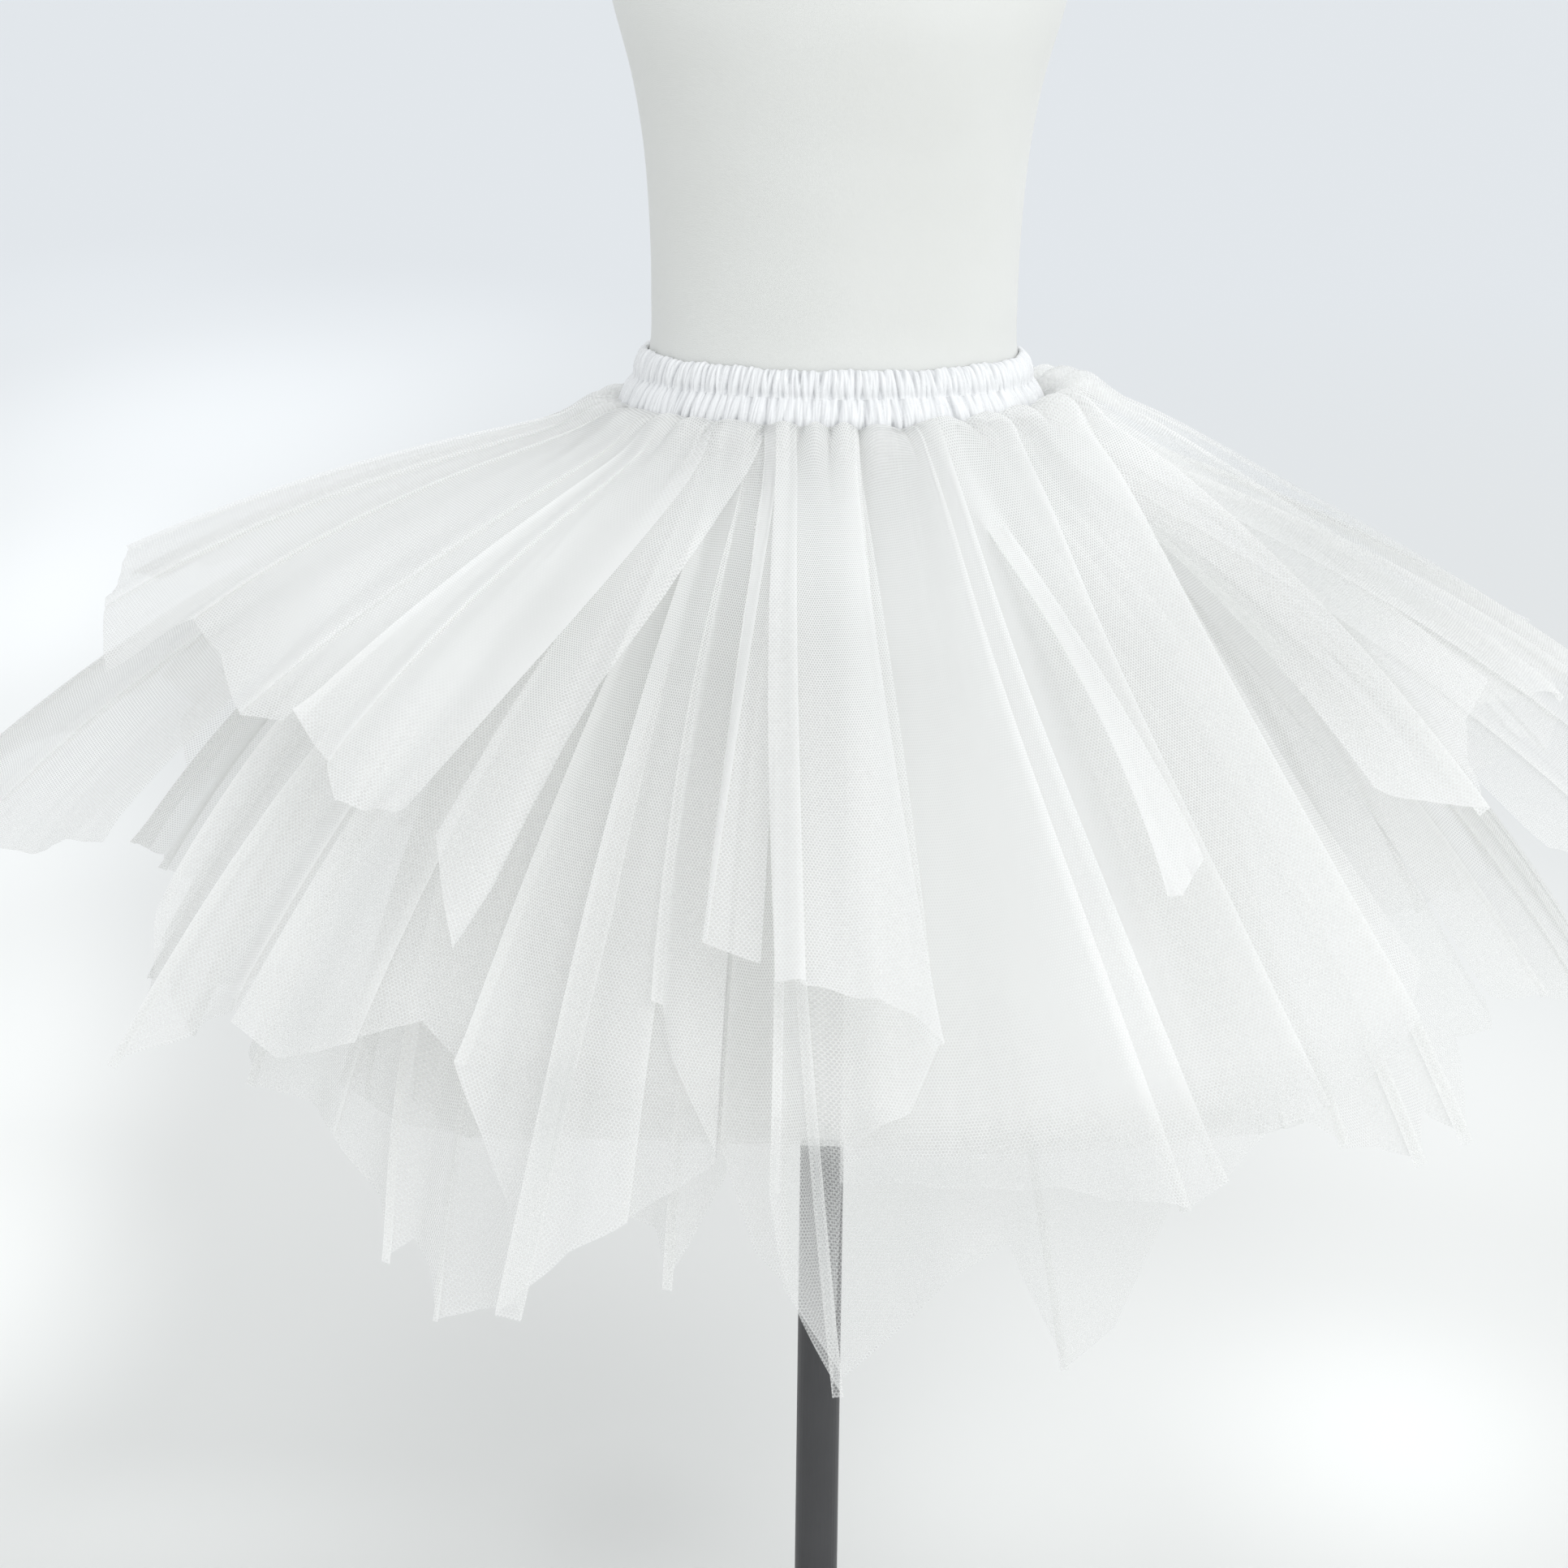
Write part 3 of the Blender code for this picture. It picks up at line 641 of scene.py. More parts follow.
def painted_material():
    """Dark grey powder coat: low sheen with a fine grain."""
    graph = Graph(bpy.data.materials.new("powder_coat"))
    where = graph.place()
    worn = graph.noise(where, scale=14.0, detail=4.0)
    return graph.finish(graph.surface(
        Base_Color=graph.ramp(worn, *PAINT_STOPS),
        Roughness=graph.stretch(worn, *PAINT_ROUGHNESS),
        Metallic=0.25,
        Normal=graph.bump(graph.noise(where, scale=900.0), strength=0.2, distance=0.0002),
    ))


# The floor's tone: near and far colour, the stretch between them, and painted pools
# of light at floor points (painted shade where the gain is below zero), with their half sizes and gain.
FLOOR_NEAR = (0.722, 0.725, 0.706)
FLOOR_FAR = (0.733, 0.753, 0.766)
FLOOR_NEAR_Y = 1.5
FLOOR_FAR_Y = 8.0
Pool = namedtuple("Pool", "x y across along gain")
PAINTED_LIGHT_POOLS = table(
    Pool,
    (-1.25, 5.2, 0.8, 2.3, 0.19), (-0.95, 6.6, 0.8, 2, 0.11), (-1.2, 3.9, 0.4, 1.6, 0.18),
    (-1.02, 2.6, 0.32, 1.2, 0.22), (-0.86, 1.7, 0.26, 0.9, 0.26), (-0.78, 1.05, 0.24, 0.6, 0.26),
    (-0.58, 0.55, 0.42, 0.24, 0.1), (-0.2, 0.85, 0.3, 0.5, -0.06), (-0.15, 0.6, 0.12, 0.2, -0.06),
    (0.51, 0.78, 0.24, 0.45, 0.11), (0.46, 0.78, 0.57, 0.7, 0.21), (0.66, 1.6, 0.5, 1, 0.16),
    (0.8, 2.4, 0.5, 1.2, 0.1), (0.13, 0.6, 0.2, 0.4, 0.08), (-0.3, 1.1, 0.36, 0.9, -0.035),
    (0.22, 1.15, 0.24, 0.6, 0.045), (-1.6, 7.2, 0.7, 2, 0.05),
)


def floor_material():
    """Plain pale studio floor, with soft painted pools of light and shade."""
    graph = Graph(bpy.data.materials.new("studio_floor"))
    where = graph.place()
    away = graph.stretch(graph.dot(where, (0.0, 1.0, 0.0)), FLOOR_NEAR_Y, FLOOR_FAR_Y, 0.0, 1.0)
    colour = graph.ramp(away, (0.0, FLOOR_NEAR), (1.0, FLOOR_FAR))
    gain = 1.0
    for pool in PAINTED_LIGHT_POOLS:
        scale = (1.0 / pool.across, 1.0 / pool.along, 0.0)
        shift = (-pool.x / pool.across, -pool.y / pool.along, 0.0)
        reach = graph.vector("LENGTH", graph.vector("MULTIPLY_ADD", where, scale, shift), output="Value")
        share = graph.stretch(reach, 0.0, 1.0, pool.gain, 0.0, interpolation_type="SMOOTHSTEP")
        gain = graph.math("ADD", gain, share)
    colour = graph.vector("MULTIPLY", colour, gain)
    return graph.finish(graph.surface(Base_Color=colour, Roughness=0.9, Specular_IOR_Level=0.1))


# ---- cloth
def hang_angle(tier, azimuth, lift):
    """How far below level a layer hangs at azimuths, in radians."""
    layer = LAYERS[tier]
    facing = np.cos(np.radians(azimuth))
    end = np.where(facing > 0.0, layer.front, layer.back)
    return np.radians(layer.side + (end - layer.side) * facing * facing - lift)


def seam_rise(angle):
    """How high the cloth puffs over the seam: lobes, higher on the right."""
    drift = sum(wave.size * np.sin(wave.rate * angle + wave.phase) for wave in LOBE_DRIFT)
    lobes = np.abs(np.sin(SEAM_LOBES * angle + drift)) ** LOBE_ROUNDNESS
    right = 1.0 + RIGHT_RISE * np.sin(angle) * np.abs(np.sin(angle))
    return SEAM_RISE * (LEAST_LOBE + (1.0 - LEAST_LOBE) * lobes) * right


def cloth_points(tier, azimuth, length, lift, raised):
    """Points of a layer, a length of cloth below its seam, raised off it."""
    level = LAYER_ORDER.index(tier)
    seam_offset = INNERMOST_SEAM_OFFSET + LAYER_STEP * level
    seam_z = BAND_BOTTOM_Z - TOP_LAYER_DROP - LAYER_STEP * (len(LAYER_ORDER) - 1 - level)
    half_width, half_depth, forward = form_section(BAND_BOTTOM_Z)
    angle = np.radians(azimuth)
    below = hang_angle(tier, azimuth, lift)
    raised = raised + PUFF_HEIGHT * np.sin(np.pi * length / PUFF_LENGTH)
    near = length / SEAM_PUFF_LENGTH
    swell = near * np.exp(1.0 - near)
    tucked = SEAM_TUCK * np.exp(-length / SEAM_TUCK_LENGTH)
    outward = length * np.cos(below) + raised * np.sin(below) + SEAM_SWELL * swell - tucked
    drop = length * np.sin(below) - raised * np.cos(below) - seam_rise(angle) * swell - tucked
    return np.stack([
        (half_width + seam_offset + outward) * np.sin(angle),
        -(half_depth + seam_offset + outward) * np.cos(angle) - forward,
        seam_z - drop,
    ], axis=-1)


def growth(length):
    """Share of its full height that a fold has at a length from the seam."""
    return (length / FOLD_FULL_LENGTH) ** FOLD_GROWTH_POWER


def crimps(azimuth, length):
    """The seam's gathers, alike in all layers and gone after a hand's width."""
    angle = np.radians(azimuth)
    wave = sum(
        crimp.share * np.sin(crimp.rate * angle + crimp.sway * np.sin(crimp.sway_rate * angle + crimp.phase))
        for crimp in CRIMPS
    )
    along = length / CRIMP_LENGTH
    return CRIMP_HEIGHT * wave * along * np.exp(1.0 - along)


# The numbers that a column of cloth carries, in this order.
SEAM, MID, HEM, REACH, DEPTH, SHIFT, LAP = range(7)


def fold_lines(folds):
    """The folds' numbers as rows, with two for a tuck, one for each of its sides."""
    lines = []
    for fold in folds:
        tuck = fold.tuck / 1000.0
        lap = np.sign(tuck)
        shape = (*fold[:REACH], fold.reach / 1000.0, fold.depth / 1000.0)
        lines.append((*shape, max(-tuck, 0.0), lap))
        if tuck:
            lines.append((*shape, min(-tuck, 0.0), -lap))
    return np.array(lines, dtype=float)


def crease_strength(lines, starts, across, softness):
    """How dense the net looks, and how much light is painted into its colour: bright lines at tucks, fading
    over their folded side.
    """
    crease = np.zeros(len(across))
    for index, (start, line) in enumerate(zip(starts, lines)):
        if not line[LAP]:
            continue
        away = across - across[start]
        strength = 1.0 - CREASE_LINE_LOSS * softness
        crease = np.maximum(crease, strength * np.exp(-np.abs(away) / CREASE_LINE))
        if line[LAP] > 0:
            first = index + 1 < len(lines) and lines[index + 1, LAP] < 0
            on_top = away <= 0.0 if first else away >= 0.0
            fade = CREASE_FADE + CREASE_FADE_GAIN * softness
            width = CREASE_FADE_WIDTH + CREASE_FADE_SPREAD * softness
            crease = np.maximum(crease, on_top * fade * np.exp(-np.abs(away) / width))
    return crease


def fold_columns(folds, tier, softness):
    """Columns between the folds, their place across the cloth, creases and edges."""
    lines = fold_lines(folds)
    radius = WAIST_RADIUS + lines[:, REACH] * np.cos(hang_angle(tier, lines[:, HEM], 0.0))
    place = np.radians(lines[:, HEM]) * radius.mean() + lines[:, SHIFT]
    columns = [lines[:1]]
    across = [np.zeros(1)]
    starts = [0]
    for first, second, gap in zip(lines, lines[1:], np.abs(np.diff(place))):
        width = math.hypot(max(gap, LEAST_GAP), second[DEPTH] - first[DEPTH])
        count = max(LEAST_COLUMNS, round(width / COLUMN_WIDTH))
        share = (np.arange(1, count + 1) / count)[:, None]
        part = first + (second - first) * share
        eased = (1.0 - np.cos(np.pi * share[:, 0])) / 2.0
        part[:, DEPTH] = first[DEPTH] + (second[DEPTH] - first[DEPTH]) * eased
        columns.append(part)
        across.append(across[-1][-1] + width * share[:, 0])
        starts.append(starts[-1] + count)
    columns = np.concatenate(columns)
    across = np.concatenate(across)
    turned = [start for start, line in zip(starts, lines) if line[LAP] and 0 < start < len(across) - 1]
    smooth = columns.copy()
    smooth[1:-1] = (columns[:-2] + 2.0 * columns[1:-1] + columns[2:]) / 4.0
    for kept in (SEAM, MID, HEM, SHIFT):
        smooth[turned, kept] = columns[turned, kept]
    smooth[:, REACH] = columns[:, REACH]
    return smooth, across, crease_strength(lines, starts, across, softness), turned


def cloth_grid(tier, folds, lift, rows, rng, closed=False, name=""):
    """Points and cloth coordinates of a gathered sheet with its folds."""
    look = LOOKS.get(name, USUAL_LOOK)
    columns, across, crease, turned = fold_columns(folds, tier, look.softness)
    step = np.linspace(0.0, 1.0, rows)[None, :] ** ROW_POWER
    seam, mid, hem, reach, depth, shift, lap = (column[:, None] for column in columns.T)
    lean = step ** LEAN_POWER
    middle = 0.5 ** LEAN_POWER
    azimuth = (
        seam * (lean - middle) * (lean - 1.0) / middle
        + mid * lean * (lean - 1.0) / (middle * (middle - 1.0))
        + hem * lean * (lean - middle) / (1.0 - middle)
    )
    length = reach * step
    radius = WAIST_RADIUS + length * np.cos(hang_angle(tier, azimuth, lift))
    opening = TUCK_SHARE_AT_SEAM + (1.0 - TUCK_SHARE_AT_SEAM) * np.minimum(length / TUCK_FULL_LENGTH, 1.0)
    azimuth = azimuth + np.degrees(shift * opening / radius)

    x = across[:, None]
    span = across[-1]

    def waves(kind):
        """Sines with whole periods over the sheet, so that a closed one meets."""
        least = max(kind.least, round(span / kind.spacing))
        total = 0.0
        for _ in range(kind.count):
            rate = TURN / span * rng.integers(least, kind.most_times * least + kind.most_more)
            total = total + rng.uniform(*WAVE_SIZES) * np.sin(rate * x + rng.uniform(0.0, TURN))
        return total / kind.count

    creases = waves(CREASES)
    along = length / CREASE_LENGTH
    raised = FOLD_BOLDNESS * depth * growth(length)
    raised = raised + lap * TUCK_LAP * (1.0 - np.exp(-length / TUCK_LAP_LENGTH))
    raised = raised + crimps(azimuth, length) + CREASE_HEIGHT * creases * along * np.exp(1.0 - along)
    swells = waves(SWELLS) * np.sin(SWELL_RATE * length + rng.uniform(*WAVE_STARTS))
    raised = raised + SWELL_HEIGHT * swells * growth(length)
    curl = np.clip((length - reach + CURL_LENGTH) / CURL_LENGTH, 0.0, 1.0) ** 2
    raised = raised + CURL_HEIGHT * waves(CURLS) * curl
    raised = raised + RUFFLE_HEIGHT * waves(RUFFLES) * (length / reach) ** RUFFLE_POWER
    puff = EXTRA_PUFF.get(name, NO_PUFF)
    bulge = length / EXTRA_PUFF_LENGTH
    raised = raised + puff.height * smoothstep(x / span / puff.start) * bulge * np.exp(1.0 - bulge)
    kept = slice(None, -1 if closed else None)
    points = cloth_points(tier, azimuth[kept], length[kept], lift, raised[kept])
    uv = np.stack([x - span / 2.0 + 0.0 * length, length], axis=-1)
    # The crease value sets the net's density and, through its colour ramp, painted light and shade.
    crease = crease[kept, None] * np.minimum(length[kept] / CREASE_START, 1.0)
    if closed:
        # Underskirts: painted light all round, stronger towards the right side.
        right = np.sin(np.radians(azimuth[kept] + UNDERSKIRT_PAINTED_LIGHT_TURN))
        return points, uv, crease + UNDERSKIRT_PAINTED_LIGHT + UNDERSKIRT_PAINTED_LIGHT_RIGHT * right, turned
    # Panels: painted light or shade, coming in below the seam and fading before the hem, with painted shade
    # over the right of some panels' width.
    whiter = np.minimum(np.minimum(length / PAINTED_LIGHT_START, (reach - length) / PAINTED_LIGHT_END), 1.0)
    painted_shade = np.clip((x / span - PAINTED_SHADE_START) / PAINTED_SHADE_WIDTH, 0.0, 1.0)
    crease = crease + (look.whiter + PAINTED_SHADE_RIGHT.get(name, 0.0) * painted_shade) * whiter
    thin = (length - THIN_END_START.get(name, USUAL_THIN_END_START)) / THIN_END_LENGTH
    crease = crease + look.thin_end * np.clip(thin, 0.0, 1.0)
    return points, uv, crease, turned


# Folds scattered over a hidden panel: how many gaps lie between them, how far one
# may stray, and in millimetres how much longer or shorter the cloth is there,
# how deep they are and how wide their tucks.
FOLD_GAPS = 10
SHARE_STRAY = 0.035
OUT_REACH = (0.0, 12.0)
IN_REACH = (-16.0, 0.0)
SPIKE_REACH = (25.0, 50.0)
MID_SHARE = 0.66
MID_STRAY = 1.2
OUT_DEPTH = (3.0, 8.0)
IN_DEPTH = (2.0, 6.0)
WIDE_TUCKS = (-12.0, -7.0, 8.0, 13.0)
NARROW_TUCKS = (-4.0, -3.0, 3.0, 5.0)
TUCKED_SHARE = 0.75
TURNED_SHARE = 0.5
# A turned back edge, as steps from the panel's last fold.
TURNED_EDGE = table(Fold, (-1.6, -3.2, -4.2, -45, 6), (-2.4, -4.6, -6, -80, 8, -4))


def scattered_folds(panel, following, rng):
    """Folds like those of the front, for a panel seen from the side or back."""
    turn_back = 360.0 if following.seam_edge <= panel.seam_edge else 0.0
    seam_end = following.seam_edge + turn_back - SLIT_AT_SEAM
    hem_end = following.hem_edge + turn_back - SLIT_AT_HEM
    corner = (panel.corner - panel.hem_edge) / (hem_end - panel.hem_edge)
    left = max(2, round((FOLD_GAPS - 1) * corner))
    shares = np.concatenate([
        np.linspace(0.0, corner, left + 1), np.linspace(corner, 1.0, FOLD_GAPS + 1 - left)[1:],
    ])
    spike = rng.integers(1, FOLD_GAPS - 1)
    folds = []
    for index, share in enumerate(shares):
        inner = 0 < index < FOLD_GAPS and index != left
        if inner:
            share = share + rng.uniform(-SHARE_STRAY, SHARE_STRAY)
        if share <= corner:
            dip = (share / corner) ** HEM_DIP_POWER
            reach = panel.reach_left + (panel.reach_corner - panel.reach_left) * dip
        else:
            rise = 1.0 - (1.0 - (share - corner) / (1.0 - corner)) ** HEM_DIP_POWER
            reach = panel.reach_corner + (panel.reach_right - panel.reach_corner) * rise
        out = (index - left) % 2 == 0
        if inner:
            reach += rng.uniform(*(OUT_REACH if out else IN_REACH))
            if index == spike:
                reach = min(reach + rng.uniform(*SPIKE_REACH), panel.reach_corner)
        seam = panel.seam_edge + (seam_end - panel.seam_edge) * share
        hem = panel.hem_edge + (hem_end - panel.hem_edge) * share
        mid = seam + (hem - seam) * MID_SHARE + (rng.uniform(-MID_STRAY, MID_STRAY) if inner else 0.0)
        depth = rng.uniform(*OUT_DEPTH) if out else -rng.uniform(*IN_DEPTH)
        tuck = 0.0
        if index in (left, spike):
            tuck = rng.choice(WIDE_TUCKS)
        elif out and rng.random() < TUCKED_SHARE:
            tuck = rng.choice(NARROW_TUCKS)
        folds.append(Fold(seam, mid, hem, reach, depth, tuck))
    if rng.random() < TURNED_SHARE:
        last = folds[-1]
        for edge in TURNED_EDGE:
            moved = (start + change for start, change in zip(last[:DEPTH], edge[:DEPTH]))
            folds.append(Fold(*moved, edge.depth, edge.tuck))
    return folds


def hem_reach(hem, azimuth):
    """Cloth length in millimetres at an azimuth of a closed hem."""
    places = np.array([point.azimuth for point in hem], dtype=float)
    reaches = np.array([point.reach for point in hem])
    places = np.concatenate([places - 360.0, places, places + 360.0])
    return float(catmull(np.tile(reaches, 3), places, (azimuth + 180.0) % 360.0 - 180.0))


# An underskirt's flutes: fold lines in each, heights in millimetres, how far a
# line may stray, in degrees and millimetres, how wide its tuck is and how often
# it has one, and how the hem, the heights and the places change on the way round.
FLUTE_LINES = 4
FLUTE_HEIGHTS = {"underskirt_inner": 8.25, "underskirt_outer": 9.0}
FLUTE_STRAY = 1.2
FLUTE_DEPTH_STRAY = 1.5
FLUTE_TUCKS = (-4.0, 3.0, 5.0)
FLUTE_TUCKED_SHARE = 0.4
HEM_WAVE = 3.0
HEIGHT_TURNS, SWAY_TURNS, HEM_TURNS = 3.0, 2.0, 5.0


def flute_folds(name, rng):
    """An underskirt's row of flutes, each with a finer fold or tuck."""
    phase = LAYER_PHASE * LAYER_ORDER.index(name)
    folds = []
    steps = FLUTE_LINES * UNDERSKIRT_FOLDS
    for column in range(steps + 1):
        inner = 0 < column < steps
        azimuth = 360.0 * column / steps - 180.0
        if inner:
            azimuth += rng.uniform(-FLUTE_STRAY, FLUTE_STRAY)
        angle = math.radians(azimuth)
        share = 1.0 - FLUTE_HEIGHT_CHANGE + FLUTE_HEIGHT_CHANGE * math.sin(HEIGHT_TURNS * angle + phase)
        ridge = math.cos(TURN * column / FLUTE_LINES) * share
        stray = rng.uniform(-FLUTE_DEPTH_STRAY, FLUTE_DEPTH_STRAY) if inner else 0.0
        place = azimuth + FLUTE_SWAY * math.sin(SWAY_TURNS * angle + phase)
        tuck = rng.choice(FLUTE_TUCKS) if inner and rng.random() < FLUTE_TUCKED_SHARE else 0.0
        reach = hem_reach(UNDERSKIRT_HEMS[name], place) + HEM_WAVE * math.sin(HEM_TURNS * angle)
        folds.append(Fold(place, place, place, reach, FLUTE_HEIGHTS[name] * ridge + stray, tuck))
    return folds


def add_cloth(name, grid, material, closed=False):
    """Add a sheet in its solid's place."""
    points, uv, crease, turned = grid
    obj = grid_object("cloth_" + name, points, material, uv, closed, crease, turned)
    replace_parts(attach(obj, "root"), name)
    areas = np.empty(len(obj.data.polygons))
    obj.data.polygons.foreach_get("area", areas)


def build_cloth():
    """Both underskirts and all panels, each replacing its solid."""
    under = tulle_material("tulle_under")
    outer = tulle_material("tulle_panel")
    rng = np.random.default_rng(SEED)
    for name in UNDERSKIRT_HEMS:
        folds = flute_folds(name, rng)
        grid = cloth_grid(name, folds, 0.0, UNDERSKIRT_ROWS, rng, closed=True)
        add_cloth(name, grid, under, closed=True)
    for tier, panels in TIERS.items():
        for index, panel in enumerate(panels):
            own = np.random.default_rng(SEED + TIER_SEED_STEP * LAYER_ORDER.index(tier) + index)
            folds = FOLDS.get(panel.name) or scattered_folds(panel, panels[(index + 1) % len(panels)], own)
            grid = cloth_grid(tier, folds, panel.lift, PANEL_ROWS, own, name=panel.name)
            add_cloth(panel.name, grid, outer)


# ---- waistband
# Outline of the satin from its inside top edge over the top and down to its
# lower edge: height above the band's bottom, distance outside the form, and how
# high the upper and lower channels' puckers stand there.
BandPoint = namedtuple("BandPoint", "height offset upper lower")
BAND_OUTLINE = lengths(
    BandPoint,
    (31, 0.6, 0, 0), (35, 0.7, 0.4, 0), (36.8, 1.6, 1.4, 0), (35.6, 2.8, 3, 0), (32.5, 3.6, 4.2, 0),
    (28.5, 4.1, 4.5, 0), (24.5, 4.5, 4.2, 0), (21.2, 5, 2.6, 0.3), (19.5, 5.5, 1.2, 1.2),
    (17.8, 5.8, 0.3, 2.6), (14.5, 6.2, 0, 4.3), (10.5, 6.6, 0, 4.8), (6.5, 6.9, 0, 4.8), (3.5, 7.1, 0, 4.2),
    (1.2, 7, 0, 2.8), (1.8, 6.2, 0, 0.8),
)
BAND_COLUMNS = 2400
BAND_ROWS = 40
BAND_END_GAP = 0.0001
BAND_MIDDLE = 0.018
BAND_GIRTH_OFFSET = 0.01
STITCH_HEIGHT = 0.0195
UPPER_MIDDLE = 0.028
LOWER_MIDDLE = 0.010
CHANNEL_HALF = 0.009
UPPER_PITCH = 0.0041
LOWER_PITCH = 0.0060
WRINKLE_PITCH = 0.0019
WRINKLE_SHARE = 0.22
PUCKER_ROUNDNESS = 0.85
PUCKER_STRAY = 0.28
PUCKER_HEIGHTS = (0.6, 1.0)
PUCKER_WIDTHS = (0.62, 0.86)
PUCKER_LEAN = 0.0017
PUCKER_MIDDLE_STRAY = 0.25
PUCKER_TAPER = 0.30
PUCKER_TAPER_POWER = 1.5
EDGE_RISE_TOP = 0.35
EDGE_RISE_BOTTOM = -0.45
EDGE_RIDGE = 0.0008
EDGE_SWAYS = ((9, 0.0005), (23, 0.0004), (61, 0.0003), (131, 0.0003))
SATIN_FULLNESS = 1.55


def puckers(place, up, girth, pitch, rng):
    """Heights from 0 to 1 of a channel's leaf-shaped puckers."""
    count = round(girth / pitch)
    centres = (np.arange(count) + rng.uniform(-PUCKER_STRAY, PUCKER_STRAY, count)) * girth / count
    heights = rng.uniform(*PUCKER_HEIGHTS, count)
    widths = rng.uniform(*PUCKER_WIDTHS, count) * girth / count
    leans = rng.uniform(-PUCKER_LEAN, PUCKER_LEAN, count)
    middles = rng.uniform(-PUCKER_MIDDLE_STRAY, PUCKER_MIDDLE_STRAY, count)
    total = np.zeros((len(place), len(up)))
    for centre, height, width, lean, middle in zip(centres, heights, widths, leans, middles):
        away = (place[:, None] - centre + girth / 2.0) % girth - girth / 2.0 - lean * up[None, :]
        taper = PUCKER_TAPER * np.clip(np.abs(up[None, :] - middle), 0.0, 1.0) ** PUCKER_TAPER_POWER
        near = width * (1.0 - taper)
        total = np.maximum(total, height * np.clip(1.0 - (away / near) ** 2, 0.0, 1.0) ** PUCKER_ROUNDNESS)
    return total


def build_waistband(material):
    """The gathered satin casing in two channels; returns its girth."""
    rng = np.random.default_rng(SEED + 1)
    azimuth = np.linspace(0.0, 360.0, BAND_COLUMNS, endpoint=False)
    half_width, half_depth, _ = form_section(BAND_BOTTOM_Z)
    angle = np.radians(azimuth)
    across, along = half_width + BAND_GIRTH_OFFSET, half_depth + BAND_GIRTH_OFFSET
    pace = np.hypot(across * np.cos(angle), along * np.sin(angle))
    place = np.concatenate([[0.0], np.cumsum(pace * TURN / BAND_COLUMNS)])
    girth = place[-1]
    rows = np.linspace(0.0, len(BAND_OUTLINE) - 1 - BAND_END_GAP, BAND_ROWS)
    height, offset, upper, lower = catmull(BAND_OUTLINE, np.arange(len(BAND_OUTLINE)), rows).T
    channels = (
        ((height - UPPER_MIDDLE) / CHANNEL_HALF, UPPER_PITCH),
        ((height - LOWER_MIDDLE) / CHANNEL_HALF, LOWER_PITCH),
    )
    large = [puckers(place[:-1], up, girth, pitch, rng) for up, pitch in channels]
    small = [puckers(place[:-1], up, girth, WRINKLE_PITCH, rng) for up, _ in channels]
    above, below = (
        (1.0 - WRINKLE_SHARE) * pucker + WRINKLE_SHARE * wrinkle for pucker, wrinkle in zip(large, small)
    )
    ridges = upper * above + lower * below
    # How deep in the valleys between puckers each point lies, used as painted shade in the satin's colour.
    hollow_shade = 1.0 - np.where(height > STITCH_HEIGHT, above, below)
    sway = np.zeros((BAND_COLUMNS, 1))
    for rate, size in EDGE_SWAYS:
        sway += size * np.sin(rate * angle + rng.uniform(*WAVE_STARTS))[:, None]
    edge = np.clip(np.abs(height - BAND_MIDDLE) / BAND_MIDDLE, 0.0, 1.0) ** 2
    rise = np.where(height > BAND_MIDDLE, EDGE_RISE_TOP, EDGE_RISE_BOTTOM)
    z = BAND_BOTTOM_Z + height + edge * sway + rise * edge * (ridges - EDGE_RIDGE)
    points = ring_points(azimuth[:, None], z, offset + ridges)
    travel = np.concatenate([[0.0], np.cumsum(np.hypot(np.diff(height), np.diff(offset)))])
    uv = np.stack(np.broadcast_arrays(SATIN_FULLNESS * place[:, None], travel), axis=-1)
    obj = grid_object("satin_waistband", points, material, uv, True, hollow_shade)
    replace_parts(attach(obj, "root"), "waistband")
    return girth


STITCH_LENGTH = 0.0021
STITCH_GAP = 0.0009
STITCH_STRAY = 0.1
STITCH_RISE = 0.0003
STITCH_OFFSET = 0.0062
STITCH_BOW = 0.0005
STITCH_POINTS = 5
THREAD_RADIUS = 0.00022
THREAD_END = 0.4
THREAD_SIDES = 6
LEAST_SIDE = (0.0, 1e-6, 0.0)


def thread_tube(points):
    """Vertices and faces of a closed thin tube along points."""
    ahead = np.gradient(points, axis=0)
    ahead /= np.linalg.norm(ahead, axis=1)[:, None]
    side = np.cross(ahead, (0.0, 0.0, 1.0)) + LEAST_SIDE
    side /= np.linalg.norm(side, axis=1)[:, None]
    other = np.cross(ahead, side)
    thin = THREAD_RADIUS * np.ones(len(points))
    thin[0] = thin[-1] = THREAD_RADIUS * THREAD_END
    turns = np.linspace(0.0, TURN, THREAD_SIDES, endpoint=False)[None, :, None]
    circle = np.cos(turns) * side[:, None] + np.sin(turns) * other[:, None]
    rings = points[:, None] + thin[:, None, None] * circle
    numbers = np.arange(len(points) * THREAD_SIDES).reshape(len(points), THREAD_SIDES)
    turned = np.roll(numbers, -1, axis=1)
    walls = np.stack([numbers[:-1], turned[:-1], turned[1:], numbers[1:]], axis=-1).reshape(-1, 4)
    return rings.reshape(-1, 3), [*walls.tolist(), numbers[0, ::-1].tolist(), numbers[-1].tolist()]


